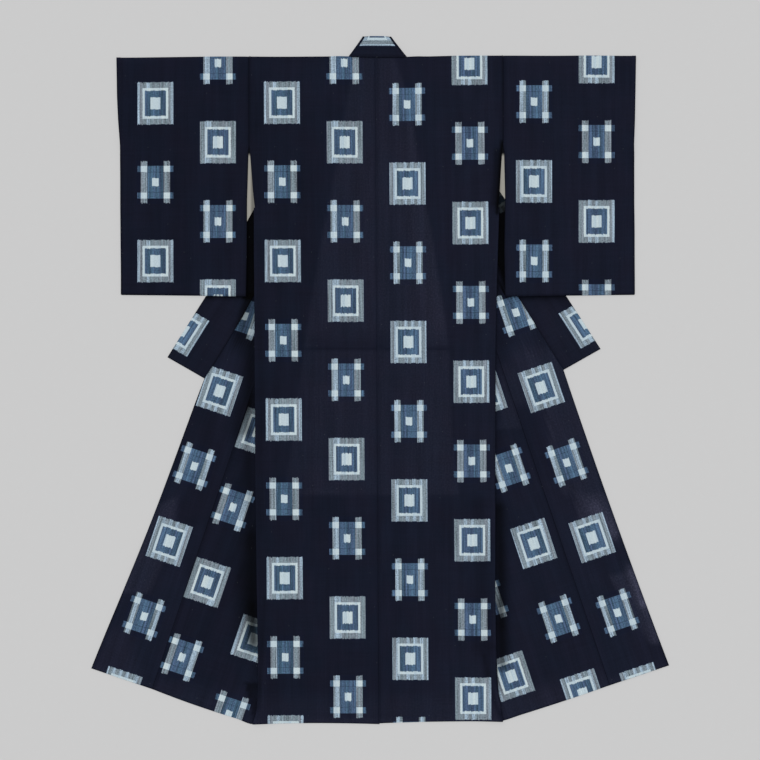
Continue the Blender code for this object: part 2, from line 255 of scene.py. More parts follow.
# Creases, each with its half width and height
UPPER_CREASES = Band.rows(
    (11, 0.0016, 235, -690, 264, -760, 290, -815),
    (5, 0.0009, 281, -740, 288, -785, 293, -816),
    (9, 0.0013, -269, -668, -278, -720, -283, -770),
    (14, 0.0022, -310, 556, -250, 512, -170, 488),
    (12, 0.0014, -305, 520, -260, 455, -230, 370),
    (15, 0.0019, 292, 550, 245, 500, 190, 470),
    (12, 0.0013, 286, 470, 260, 390, 250, 290),
    (21, 0.0021, -170, -300, -188, -520, -195, -800),
    (19, 0.0018, 105, -360, 116, -560, 128, -780),
    (8, 0.001, 35, -240, 42, -450, 40, -650),
    (16, 0.0013, -100, 770, -130, 700, -135, 600),
    (14, 0.0012, 90, 770, 115, 690, 125, 620),
    (14, 0.0019, -620, 560, -540, 530, -460, 540),
    (18, 0.0017, -325, 700, -390, 600, -410, 480),
    (13, 0.0014, -560, 225, -530, 330, -535, 420),
    (15, 0.0018, 608, 552, 530, 520, 450, 528),
    (17, 0.0016, 308, 710, 365, 610, 380, 500),
    (13, 0.0015, 515, 230, 495, 340, 505, 440),
)
LOWER_CREASES = Band.rows(
    (17, 0.0019, -415, 10, -455, -300, -490, -690),
    (12, 0.0015, -360, -250, -390, -480, -405, -700),
    (13, 0.0016, -570, -350, -605, -500, -640, -640),
    (16, 0.0018, 400, 30, 435, -240, 475, -650),
    (12, 0.0014, 345, -300, 365, -500, 390, -720),
    (13, 0.0017, 545, -330, 585, -480, 630, -630),
    (10, 0.0012, -470, 60, -425, 120, -390, 190),
    (10, 0.0012, 470, 80, 435, 140, 405, 195),
)

# Painted light and shade on the navy. Painted light where light through the cloth shows the layers under it,
# and
# A painted highlight along the shoulder fold, on both sleeves
# painted sheen on the fronts and overlap panels; painted shade beside raised edges, in the vents and under the
# sleeves' hems
SHOULDER_HIGHLIGHT = Zone.rows((14, 0.12, -640, 790, 640, 790, 640, 770, -640, 770))
PAINTED_SHADING = {
    "sleeve_left": SHOULDER_HIGHLIGHT,
    "sleeve_right": SHOULDER_HIGHLIGHT,
    "back": Zone.rows(
        (10, 0.4, -55, 790, -73, 674, -101, 504, -130, 360, -160, 192, -175, 82, 158, 82, 144, 192, 116, 360,
         88, 504, 66, 674, 22, 790),
        (8, 0.32, -178, 68, -205, -120, -224, -272, 186, -272, 168, -120, 161, 68),
        (14, 0.13, 72, 620, 106, 420, 157, 90, 120, 90, 80, 360),
        (20, 0.1, -150, -20, -90, -10, -90, -262, -160, -262),
        (60, 0.27, -310, -790, -310, -830, 300, -830, 300, -790),
        (4, 0.1, -310, -814, -310, -830, 300, -830, 300, -814),
        (12, -0.45, 278, 545, 306, 545, 300, 420, 272, 420),
        (60, 0.05, -300, 740, -120, 740, -120, 700, -300, 700),
    ) + Band.rows(
        (26, -0.32, 236, -300, 244, -460, 244, -640),
        (12, -0.11, 28, 660, 33, 100, 37, -240, 42, -450, 41, -650),
        (12, -0.1, -118, -60, -122, -240),
        (3.4, 0.12, -224, -270, -100, -270),
        (16, -0.16, 296, 760, 292, 560),
        (4.5, -0.88, 293, 568, 286, 500, 280, 400),
        (6, -0.36, 250, -660, 258, -715, 271, -760, 293, -814),
        (4, 0.3, 272, -650, 274, -728, 288, -790),
        (4, -0.5, 280, -640, 283, -740, 298, -818),
        (4.5, -0.26, -277, -520, -286, -700, -293, -790),
        (6, 0.1, -267, -560, -274, -690, -281, -775),
        (26, -0.1, -300, 700, -300, 430),
        (26, -0.1, -294, 120, -290, 0, -288, -640),
        (18, -0.12, 286, 550, 282, 410),
        (14, -0.2, 268, -640, 272, -720),
    ),
    "front_left": Zone.rows(
        (20, -0.56, -362, 200, -300, 200, -300, 10, -332, 10),
        (20, -0.4, -345, -40, -300, -40, -300, -125, -345, -125),
        (70, 0.34, -560, -745, -300, -800, -300, -840, -560, -790),
        (4, -0.5, -321.6, -728, -295, -728, -295, -824, -301, -824),
    ) + Band.rows(
        (16, -0.6, -312, 200, -318, 20, -322, -60),
        (15, -0.42, -318, -60, -312, -280, -308, -360),
        (22, -0.72, -308, -380, -305, -560, -303, -640),
        (20, -0.28, -322, -450, -318, -560),
        (12, -0.6, -307, -540, -304, -625),
        (34, -0.16, -330, 20, -330, -640),
        (16, -0.18, -336, -470, -336, -620),
    ),
    "front_right": Zone.rows(
        (20, 0.14, 276, 160, 400, 160, 440, 72.5, 276, 72.5),
        (6, 0.34, 276, 72.5, 440, 72.5, 352, -112, 276, -116),
        (70, 0.34, 560, -735, 290, -790, 290, -830, 560, -780),
    ) + Band.rows(
        (10, -0.25, 280, 200, 282, -80, 284, -300),
        (18, -0.74, 284, -310, 288, -400, 290, -560, 294, -690),
        (12, -0.4, 290, -530, 292, -590),
    ),
    "okumi_left": Zone.rows(
        (8, -0.44, -322, 205, -296, 205, -296, 90, -346, 84, -346, 120),
        (10, 0.46, -534, -306, -492, -288, -496, -372, -556, -506, -622, -506),
        (40, -0.17, -500, -20, -370, -20, -420, -330, -470, -330),
        (50, 0.26, -690, -640, -630, -620, -600, -700, -690, -720),
        (20, 0.16, -700, -690, -545, -742, -545, -760, -700, -710),
    ) + Band.rows(
        (16, 0.22, -466, -200, -510, -330),
        (13, -0.62, -308, 86, -309, 10, -312, -60),
        (19, -0.38, -306, 195, -322, 150, -340, 100),
        (19, -0.36, -322, 80, -322, -30, -340, -130),
        (16, -0.2, -338, -70, -340, -115),
        (16, -0.14, -413, -80, -413, -156),
        (14, 0.18, -455, -235, -462, -270),
        (20, -0.18, -452, -345, -455, -460),
        (10, 0.3, -545, -330, -612, -500),
    ),
    "okumi_right": Zone.rows(
        (8, 0.34, 350, 72.5, 430, 72.5, 470, -57, 530, -270, 436, -270, 396, -57),
        (8, 0.24, 350, 72.5, 394, -52, 280, -52, 280, 72.5),
        (20, -0.1, 330, -75, 388, -75, 420, -230, 385, -230),
        (8, 0.72, 470, -277, 545, -277, 570, -366, 530, -400, 488, -372),
        (10, 0.6, 556, -474, 616, -458, 668, -630, 650, -628),
        (30, 0.26, 700, -690, 545, -735, 545, -755, 700, -705),
        (8, -0.55, 262, 290, 330, 290, 330, 205, 262, 205),
        (6, -0.82, 286, 285, 330, 285, 330, 203, 297, 203),
    ) + Band.rows(
        (13, -0.28, 288, 190, 290, 50),
        (14, -0.16, 306, 120, 314, 40),
        (4, 0.22, 396, -57, 436, -250),
        (18, 0.85, 516, -306, 562, -372),
        (12, 0.25, 430, 62, 438, 40),
        (12.5, 1.3, 602, -452, 632, -535),
        (9, 0.6, 634, -535, 664, -620),
    ),
    "collar": Zone.rows(
        (12, -0.42, -316, 205, -296, 205, -296, 150, -330, 135),
        (8, -0.44, -322, 205, -296, 205, -296, 90, -346, 84, -346, 120),
        (30, 0.12, 400, 170, 470, 130, 530, 74, 440, 30),
        (6, -0.93, -324, 480, -288, 480, -290, 190, -324, 196),
        (6, -0.93, 306, 500, 272, 500, 270, 184, 306, 190),
    ) + Band.rows(
        (15, -0.34, -306, 195, -322, 150, -340, 100),
        (14, 0.25, 500, 120, 530, 80),
        (10, -0.5, -520, 204, -410, 202),
        (7, -0.5, -410, 202, -300, 200),
        (11, -0.5, 520, 204, 280, 200),
    ),
}

# The plain navy of each piece against that of the back
PLAIN_TONES = {
    "back": 1.0,
    "sleeve_left": 0.93,
    "sleeve_right": 1.08,
    "front_left": 0.92,
    "front_right": 1.06,
    "okumi_left": 1.03,
    "okumi_right": 1.08,
    "collar": 0.98,
    "nape": 0.9996,
}

# The flat cut of what shows of each cloth, all round where it is folded double, width by length
CUT_AREAS = {
    "body_left": 0.906,
    "body_right": 0.903,
    "sleeve_left": 0.356,
    "sleeve_right": 0.364,
    "okumi_left": 0.137,
    "okumi_right": 0.1505,
    "collar": 0.164,
}

# How finely the grids are divided, and how far a cloth laps over its neighbour at a seam
FOLD_STEPS = 8
CORNER_STEPS = 4
NAPE_STEPS = 6
SEAM_MARKS = (0.0012, 0.0028)
NECK_MARKS = (0.0005,)
TIP_MARKS = (0.0015, 0.004)
HEM_MARKS = (0.0015, 0.0045, 0.0088, 0.0108)
LAP = 0.001

# The widths and lengths that shares of a cloth are worked out from
SLEEVE_WIDTH = 0.31
OPENED_WIDTH = 0.25
OKUMI_WIDTH = 0.15
OKUMI_LENGTH = 1.3
ARM_WIDTH = 0.1
NAPE_WIDTH = 0.13
NAPE_HEIGHT = 0.045
NAPE_ARCH = 0.0016

# A distance along the okumi's slanted rows against that square to its front edge
OKUMI_SLANT = 0.97

# Relief at seams, hems and the tuck at the waist, and painted shade at seams, hems and above the tuck
ROLL_WIDTH = 0.005
HEM_SLOPE = 0.002
HEM_LIFT = 0.0006
HEM_LIFT_REACH = 0.03
LIP_REACH = 0.0034
TUCK_SLOPE = 0.002
TUCK_SHADE_HEIGHT = 0.066
TUCK_SHADE_REACH = 0.15
TUCK_SHADE_FADE = 0.03
EDGE_DEPTH = 0.3
EDGE_LINE = 0.0045
CENTRE_SEAM_DEPTH = 0.22
LAPPED_SEAM_DEPTH = 0.14
FRONT_SEAM_DEPTH = 0.16
SLEEVE_SEAM_DEPTH = 0.5
OKUMI_SEAM_DEPTH = 0.86
OKUMI_SEAM_LINE = 0.0024
OKUMI_HEM_DEPTH = 0.55
OKUMI_HEM_LINE = 0.004
COLLAR_SEAM_DEPTH = 0.25
COLLAR_SEAM_LINE = 0.003
STRIP_WIDTH = 0.0105
STRIP_FADE = 0.002
# Painted shade on the part of each front that lies under the back
COVERED_SHADE = 0.9

# How far beside a cover the relief and the lay of the cloth under it set in, and over what width
RELIEF_START = 0.002
RELIEF_FADE = 0.006
LAY_START = 0.004
LAY_FADE = 0.05

# Painted light across the back: how much lighter its navy gets with each metre to the right
PAINTED_LIGHT_SLOPE = 0.34

# The vents below the armholes, where the floor shows with painted shade
VENT_LEFT_X = -0.309
VENT_RIGHT_X = 0.288
VENT_MIDDLE_Y = 0.47
VENT_REACH_X = 0.018
VENT_REACH_Y = 0.11
VENT_TOP_Y = 0.535
VENT_SOFT = 0.003

# The floor lies a little under the model's lowest cloth
FLOOR_GAP = 0.0003
FLOOR_REACH = 30.0

# The inputs of the stitch tree, with their kinds and defaults
STITCH_SOCKETS = (
    ("Spacing", "Float", 0.012),
    ("Length", "Float", 0.0022),
    ("Thickness", "Float", 0.0004),
    ("Seed", "Int", 7),
)

# How far the blind stitches run inside a hem's edge and from a cuff's ends, and how many points guide a line
STITCH_INSET = 0.0012
STITCH_END = 0.006
BODY_POINTS = 40
EDGE_POINTS = 60
SHORT_POINTS = 30

# Where a cloth lies in the weave, which sets where its figures come. The right length's lie a little lower,
# because each length is cut and sewn by hand
RIGHT_SHIFT = 0.004
OKUMI_GRAIN_V = 0.126
ARM_GRAIN_U = 0.079
ARM_GRAIN_V = 0.02
NAPE_GRAIN_U = 0.142
NAPE_GRAIN_V = 0.04
NAPE_GRAIN_LENGTH = 0.11


# Sizes along lines and tables


def mix(a, b, share):
    return a * (1.0 - share) + b * share


def bow(share):
    """A shallow curve between two ends: 0 at both and 1 half way."""
    return 4.0 * share * (1.0 - share)


def smooth(share):
    """An even rise from 0 to 1 with soft ends."""
    held = np.clip(share, 0.0, 1.0)
    return held * held * (3.0 - 2.0 * held)


def column_at(rows, column, y):
    """Reads a table's column at heights y. The table's heights run from top to bottom."""
    rising = rows[::-1]
    return np.interp(y, [row.y for row in rising], [getattr(row, column) for row in rising])


def along(points, index):
    """The places at fractional indices of a list of points, as x and y."""
    return [np.interp(index, np.arange(len(points)), values) for values in zip(*points)]


def lengths_along(points):
    """How far each point of a list is from the first, along the list."""
    steps = np.diff(np.array(points), axis=0)
    return np.concatenate([[0.0], np.cumsum(np.hypot(steps[:, 0], steps[:, 1]))])


def lapped(shares, length, at_end=False):
    """The shares with one more past an end of the length, where the cloth laps over its neighbour."""
    return np.append(shares, 1.0 + LAP / length) if at_end else np.insert(shares, 0, -LAP / length)


def divided(length, cell, start_marks=(), end_marks=()):
    """Shares of a length, from 0 to 1, about a cell apart and closer at the marks near its ends."""
    first = max(start_marks, default=0.0)
    last = length - max(end_marks, default=0.0)
    inner = np.linspace(first, last, max(2, round((last - first) / cell) + 1))
    marks = [0.0, *start_marks, *(length - mark for mark in end_marks), length]
    return np.unique(np.round(np.concatenate([marks, inner]) / length, 9))


def heights_between(marks, cell):
    """Heights that hold every mark, with more between them about a cell apart."""
    found = [marks[0]]
    for start, end in zip(marks, marks[1:]):
        count = max(1, math.ceil((end - start) / cell - 1e-6))
        found += [mix(start, end, (k + 1) / count) for k in range(count)]
    return np.array(found)


def distance_to(x, y, points):
    """How far each place is from a line through the points."""
    nearest = np.full(np.shape(x), np.inf)
    for a, b in zip(points, points[1:]):
        run = (b[0] - a[0], b[1] - a[1])
        share = np.clip(((x - a[0]) * run[0] + (y - a[1]) * run[1]) / (run[0] ** 2 + run[1] ** 2), 0.0, 1.0)
        nearest = np.minimum(nearest, np.hypot(a[0] + run[0] * share - x, a[1] + run[1] * share - y))
    return nearest


def distance_outside(x, y, outline):
    """How far each place is outside a closed outline, or 0 inside it."""
    inside = np.zeros(np.shape(x), bool)
    closed = outline + outline[:1]
    for a, b in zip(closed, closed[1:]):
        if a[1] != b[1]:
            crossing = mix(a[0], b[0], (y - a[1]) / (b[1] - a[1]))
            inside ^= ((a[1] > y) != (b[1] > y)) & (x < crossing)
    return np.where(inside, 0.0, distance_to(x, y, closed))


# Outlines of what lies under other cloths


def free_points(front):
    return [(rung.free_x, rung.free_y) for rung in front.collar]


def seam_points(front, beyond=0.0):
    """The collar arm's seam, or the edge of what is sewn to it where beyond is the gap."""
    found = []
    for rung in front.collar:
        angle = math.radians(front.rung_degrees + rung.turn)
        reach = rung.width + beyond
        found.append((rung.free_x + math.cos(angle) * reach, rung.free_y + math.sin(angle) * reach))
    return found


def fold_line(front, reach=0.0):
    """The ends of the fold under the back, hem first, moved by reach towards the centre."""
    return [(x - front.outwards * reach, y) for x, y in (front.fold_hem, front.fold_top)]


def opened_outline(front):
    """What lies on the floor beside the collar's arm: the overlap panel and the opened-out front."""
    seam = seam_points(front)
    edge = [*seam[: OKUMI_TOP_RUNG + 1], tuple(along(seam, FRONT_TOP_INDEX))]
    return [front.hem_corner, front.okumi_hem, *fold_line(front, FOLD_REACH * 2), *edge[::-1]]


def under_outline(side):
    """The part of the front that lies between the back and the opened-out part."""
    front = FRONTS[side]
    edge = [(getattr(row, f"{side}_x"), row.y) for row in BODY_SIDES]
    return [(front.neck_x, SHOULDER_Y), *edge, *fold_line(front, FOLD_REACH * 2)]


def sleeve_outline(side):
    cuff = [(getattr(row, f"{side}_cuff_x"), row.y) for row in SLEEVE_EDGES]
    return cuff + [(getattr(row, f"{side}_body_x"), row.y) for row in SLEEVE_EDGES[::-1]]


ARMS = [free_points(front) + seam_points(front)[::-1] for front in FRONTS.values()]
OPENED = [opened_outline(front) for front in FRONTS.values()]
UNDER = [under_outline(side) for side in FRONTS]
COVERS = UNDER + [sleeve_outline(side) for side in FRONTS]


# Heights of the layers and the lay of the cloth


def drape(x, y, outlines):
    """1 on the outlines' areas and 0 further off than DRAPE, as cloth that bridges down beside an edge."""
    away = np.min([distance_outside(x, y, outline) for outline in outlines], axis=0)
    return 1.0 - smooth(away / DRAPE)


def uncovered(x, y, start, reach):
    """0 where other cloths lie on a place, and up to start beside them, and 1 when reach further."""
    away = np.min([distance_outside(x, y, outline) for outline in COVERS], axis=0)
    return smooth((away - start) / reach)


def lower_z(x, y):
    """The underside of a layer that lies on what is on the floor."""
    return np.maximum(COLLAR_LAYER * drape(x, y, ARMS), LAYER * drape(x, y, OPENED))


def upper_z(x, y):
    """The underside of the back, which lies on the fronts' parts under it."""
    return lower_z(x, y) + LAYER * drape(x, y, UNDER)


def waves(x, y):
    """Slow unevenness of the lay, from 0 to 1."""
    total = 0.0
    for wave in WAVES:
        angle = math.radians(wave.heading)
        run = x * math.cos(angle) + y * math.sin(angle)
        total = total + wave.share * np.sin(2 * math.pi * run / wave.length + wave.phase)
    return 0.5 + 0.5 * total


def lay(x, y, cloth, creases):
    """The height of a cloth's waves and creases at each place. Where creases cross, they don't add up."""
    heights = [crease.strength * crease.cover(x, y) for crease in creases]
    return cloth.wave_height * waves(x, y) + np.max(heights, axis=0)


def upper_lay(x, y, cloth):
    """How far the uppermost layers stand above a flat lay."""
    tuck = cloth.tuck_step * smooth((y - TUCK_Y + TUCK_SLOPE / 2) / TUCK_SLOPE)
    return lay(x, y, cloth, UPPER_CREASES) + tuck


def lower_lay(x, y, cloth):
    """How far the cloths on the floor stand up, flat again where others lie on them."""
    return uncovered(x, y, LAY_START, LAY_FADE) * lay(x, y, cloth, LOWER_CREASES)


def edged(inset, hem, cloth):
    """A cloth's own relief: it rolls down at its seams and is thicker along its turned hem."""
    rolled = cloth.seam_roll * smooth(inset / ROLL_WIDTH)
    turned = cloth.hem_step * smooth((cloth.hem_width + HEM_SLOPE / 2 - hem) / HEM_SLOPE)
    lifted = HEM_LIFT * np.exp(-((hem / HEM_LIFT_REACH) ** 2))
    return rolled + turned + lifted


def lip(reach):
    """How far a cloth rises where it laps over its neighbour, by the distance from its seam."""
    return (CLOTH + 0.0001) * (1.0 - smooth(reach / LIP_REACH))


def toned(x, y, name):
    """How light a piece's navy is at each place with its painted light and shade, 1 where it is as plain as on
    the back.
    """
    tone = np.full(np.shape(x), PLAIN_TONES[name])
    for shade in PAINTED_SHADING.get(name, ()):
        tone = tone * (1.0 + shade.strength * shade.cover(x, y))
    return tone


def seam_shade(inset, depth=EDGE_DEPTH, width=EDGE_LINE):
    """The painted shade line where a cloth dips into a seam or over its edge."""
    return 1.0 - depth * (1.0 - smooth(inset / width))


# Sheets


class Patch:
    """A grid of points, each with its place in the weave and its tone."""

    def __init__(self, points, grain, tone):
        self.points = points
        self.grain = grain
        self.tone = tone

    def __getitem__(self, place):
        return Patch(self.points[place], self.grain[place], self.tone[place])


def placed(x, y, z, u, v, tone):
    """A patch from its coordinates, moved with the shoulder line, less and less to the sleeves' middle."""
    x, y, z, u, v, tone = np.broadcast_arrays(x, y, z, u, v, tone)
    y = y + np.interp(x, *zip(*SHOULDER_OFFSETS)) * smooth((y - OFFSET_FOOT_Y) / OFFSET_RISE)
    return Patch(np.stack([x, y, z], axis=-1), np.stack([u, v], axis=-1), tone)


class Sheet:
    """Patches that are welded into one cloth."""

    def __init__(self):
        self.patches = []

    def add(self, patch):
        self.patches.append(patch)
        return patch

    def add_fold(self, upper, lower, outwards, carries_on=True, bulge=1.0):
        """Joins the edges of two layers by a half round. carries_on says that the weave runs on over it."""
        turn = np.linspace(0.0, 1.0, FOLD_STEPS + 1)[:, None]
        radius = (upper.points[:, 2] - lower.points[:, 2]) / 2
        reach = radius * bulge * np.sin(math.pi * turn)
        bend = np.stack([outwards[0] * reach, outwards[1] * reach, radius * np.cos(math.pi * turn)], axis=-1)
        grain = mix(upper.grain, lower.grain, turn[..., None] * carries_on)
        self.add(Patch((upper.points + lower.points) / 2 + bend, grain, mix(upper.tone, lower.tone, turn)))

    def made(self, node, thickness, finish):
        """Welds the patches into one mesh and gives it its thickness and finish."""
        quads = []
        start = 0
        for patch in self.patches:
            index = start + np.arange(patch.tone.size).reshape(patch.tone.shape)
            corners = (index[:-1, :-1], index[1:, :-1], index[1:, 1:], index[:-1, 1:])
            quads.append(np.stack(corners, axis=-1).reshape(-1, 4))
            start += patch.tone.size
        quads = np.concatenate(quads)
        points = np.concatenate([patch.points.reshape(-1, 3) for patch in self.patches])
        grain = np.concatenate([patch.grain.reshape(-1, 2) for patch in self.patches])
        tone = np.concatenate([patch.tone.ravel() for patch in self.patches])
        mesh = bpy.data.meshes.new(f"{node}_cloth")
        mesh.from_pydata(points.tolist(), [], quads.tolist())
        mesh.uv_layers.new(name="grain").data.foreach_set("uv", grain[quads.ravel()].ravel())
        mesh.attributes.new("tone", "FLOAT", "POINT").data.foreach_set("value", tone)
        weld = bmesh.new()
        weld.from_mesh(mesh)
        bmesh.ops.remove_doubles(weld, verts=weld.verts, dist=1e-5)
        bmesh.ops.recalc_face_normals(weld, faces=weld.faces)
        weld.to_mesh(mesh)
        weld.free()
        mesh.shade_smooth()
        mesh.materials.append(finish)
        wall = linked(mesh).modifiers.new("cloth", "SOLIDIFY")
        wall.thickness = thickness
        wall.offset = 0.0
        wall.use_even_offset = True


def linked(data):
    """An object of the data's own name, linked to the scene."""
    made = bpy.data.objects.new(data.name, data)
    bpy.context.scene.collection.objects.link(made)
    return made


class BodyLay:
    """Where one body length lies: up the back, over the shoulder, down under the back and out to the side."""

    def __init__(self, side, cloth):
        self.side = side
        self.cloth = cloth
        self.front = FRONTS[side]
        self.inwards = -self.front.outwards
        self.hem = self.front.fold_hem[1]
        self.laps = side == "right"
        self.shift = RIGHT_SHIFT if side == "right" else 0.0
        side_x = self.side_x(TOP_Y)
        width = self.centre(TOP_Y) - side_x
        self.width = abs(width)
        self.neck_share = float((self.front.neck_x - side_x) / width)
        boundary = seam_points(self.front, SEAM_GAP)
        gap = self.inwards * SEAM_GAP
        low_ends = [(x + gap, y) for x, y in (self.front.okumi_hem, boundary[OKUMI_TOP_RUNG])]
        self.outer_line = [*low_ends, tuple(along(boundary, FRONT_TOP_INDEX))]
        lengths = lengths_along(self.outer_line)
        self.bend_share = lengths[1] / lengths[2]

    def side_x(self, y):
        return column_at(BODY_SIDES, f"{self.side}_x", y)

    def seam_x(self, y):
        return mix(SEAM_HEM_X, SEAM_TOP_X, (y - LEFT_HEM_Y) / (SHOULDER_Y - LEFT_HEM_Y))

    def centre(self, y):
        """The edge at the centre back seam."""
        return self.seam_x(y) - self.inwards * SEAM_GAP / 2

    def inner(self, y):
        """The inner edge of the part under the back: the fold, and above it the neck's edge."""
        heights = [self.hem, FOLD_TOP_Y, SHOULDER_Y]
        return np.interp(y, heights, [self.front.fold_hem[0], self.front.fold_top[0], self.front.neck_x])

    def outer(self, y):
        """The outer edge of the opened-out part: the okumi seam, and above it the collar seam."""
        share = (y - self.hem) / (FOLD_TOP_Y - self.hem)
        low = share / self.bend_share
        high = 1.0 + (share - self.bend_share) / (1.0 - self.bend_share)
        return along(self.outer_line, np.where(share <= self.bend_share, low, high))

    def hem_share(self, y):
        return np.clip((VENT_Y - y) / (VENT_Y - self.hem), 0.0, 1.0)

    def back(self, share, y):
        """The back, from the side edge at share 0 to the centre seam at share 1."""
        kept = np.clip(share, 0.0, 1.0)
        past = np.where(share < 0.0, -LAP * (y >= ARMHOLE_Y), np.where(share > 1.0, LAP, 0.0))
        x = mix(self.side_x(y), self.centre(y), kept) + self.inwards * past
        lift = (self.front.centre_hem_y - self.hem) * kept + self.front.back_hem_bow * bow(kept)
        reaches_neck = (y >= TOP_Y - 1e-9) & (share > self.neck_share + 1e-9)
        shown_y = np.where(reaches_neck, SHOULDER_Y, y + lift * self.hem_share(y))
        to_side = (x - self.side_x(y)) * self.inwards
        to_seam = (self.centre(y) - x) * self.inwards
        open_side = (y > VENT_Y) & (y < ARMHOLE_Y)
        inset = np.minimum(np.where(open_side, to_side, 1.0), to_seam + 1.0 * self.laps)
        hem = y - self.hem
        relief = upper_lay(x, shown_y, self.cloth) + edged(inset, hem, self.cloth)
        z = upper_z(x, shown_y) + CLOTH / 2 + relief
        z = z + lip(to_side) * smooth((y - ARMHOLE_Y + 0.004) / 0.012) + lip(to_seam) * self.laps
        # Painted light and shade on the back: its zones, painted light that rises to the right and painted
        # shade above the tuck
        tone = toned(x, shown_y, "back") * (1.0 + PAINTED_LIGHT_SLOPE * x) * self.tuck_tone(x, shown_y)
        edge = np.minimum(np.where(y > VENT_Y, to_side, 1.0), hem)
        seam_depth = LAPPED_SEAM_DEPTH if self.laps else CENTRE_SEAM_DEPTH
        tone = tone * seam_shade(edge) * seam_shade(to_seam, seam_depth)
        return placed(x, shown_y, z, x - self.seam_x(shown_y), shown_y + self.shift, tone)

    def tuck_tone(self, x, y):
        """The shade above the tuck at the waist, which ends at its folded edge."""
        above = smooth(1.0 - (y - TUCK_Y) / TUCK_SHADE_HEIGHT) * (y > TUCK_Y)
        middle = 1.0 - smooth((np.abs(x) - TUCK_SHADE_REACH) / TUCK_SHADE_FADE)
        return 1.0 - self.cloth.tuck_shade * above * middle

    def under(self, share, y):
        """The part of the front under the back, from the side edge to the fold."""
        x = mix(self.side_x(y), self.inner(y), np.clip(share, 0.0, 1.0))
        return placed(x, y, lower_z(x, y) + CLOTH / 2, x - self.seam_x(y), self.front_v(y), COVERED_SHADE)

    def front_v(self, y):
        return 2.0 * SHOULDER_Y - y + self.shift

    def opened(self, share, y):
        """The part of the front that is opened out on the floor, from its seams to the fold."""
        outer_x, outer_y = self.outer(y)
        x = mix(outer_x, self.inner(y), share)
        shown_y = mix(outer_y, y, share)
        above_fold = (1.0 - share) * (self.front.okumi_hem[1] - self.hem)
        dip = np.minimum(self.front.hem_dip * smooth((share - 0.80) / 0.13), above_fold)
        shown_y = shown_y - (self.front.hem_bow * bow(share) + dip) * self.hem_share(y) ** 3
        inset = np.hypot(x - outer_x, shown_y - outer_y) * (share > 0.0)
        hem = y - self.hem
        beside_back = smooth((np.abs(x) - np.abs(self.side_x(y)) - RELIEF_START) / RELIEF_FADE)
        relief = edged(1.0, hem, self.cloth) * beside_back
        z = CLOTH / 2 + lower_lay(x, shown_y, self.cloth) + relief + lip(inset)
        tone = toned(x, shown_y, f"front_{self.side}") * seam_shade(inset, FRONT_SEAM_DEPTH) * seam_shade(hem)
        flat_x, flat_y = self.unfolded(x, shown_y)
        return placed(x, shown_y, z, flat_x - self.seam_x(flat_y), self.front_v(flat_y), tone)

    def unfolded(self, x, y):
        """Where a place of the opened-out part would lie if its fold were opened again."""
        (ax, ay), (bx, by) = fold_line(self.front)
        length = math.hypot(bx - ax, by - ay)
        dx, dy = (bx - ax) / length, (by - ay) / length
        reach = (x - ax) * dx + (y - ay) * dy
        return 2.0 * (ax + reach * dx) - x, 2.0 * (ay + reach * dy) - y


def make_body(side, cloth, finish):
    """A body length: the back, the front's part under it and its opened-out part, joined by three folds."""
    body = BodyLay(side, cloth)
    sheet = Sheet()
    near_hem = [body.hem + mark for mark in (0.0, *HEM_MARKS)]
    tuck = (TUCK_Y - TUCK_SLOPE / 2, TUCK_Y + TUCK_SLOPE / 2)
    marks = [*near_hem, *tuck, VENT_Y, ARMHOLE_Y, FOLD_TOP_Y, TOP_Y]
    rows = heights_between(marks, cloth.cell)[None, :]
    closed = int(np.sum(rows <= VENT_Y + 1e-9))
    folded = int(np.sum(rows <= FOLD_TOP_Y + 1e-9))
    shoulder_length = body.width * body.neck_share
    shoulder = lapped(divided(shoulder_length, cloth.cell, SEAM_MARKS), shoulder_length)[:, None]
    neck_length = body.width - shoulder_length
    neck = mix(body.neck_share, 1.0, divided(neck_length, cloth.cell, NECK_MARKS, SEAM_MARKS))
    if body.laps:
        neck = lapped(neck, body.width, at_end=True)
    opened_shares = lapped(divided(OPENED_WIDTH, cloth.cell, SEAM_MARKS), OPENED_WIDTH)[:, None]
    back = sheet.add(body.back(np.concatenate([shoulder * body.neck_share, neck[1:, None]]), rows))
    under = sheet.add(body.under(shoulder, rows))
    opened = sheet.add(body.opened(opened_shares, rows[:, :folded]))
    sheet.add_fold(back[: len(shoulder), -1], under[:, -1], (0.0, 1.0))
    sheet.add_fold(under[-1, :folded], opened[-1], (body.inwards, 0.0))
    sheet.add_fold(back[0, :closed], under[0, :closed], (-body.inwards, 0.0), False)
    sheet.made(f"body_{side}", CLOTH, finish)


def roundness(y):
    """How round a sleeve's outer edge is: 0 along the open cuff, and 1 soon below it, where it is a fold."""
    return smooth((CUFF_Y - y) / 0.02)


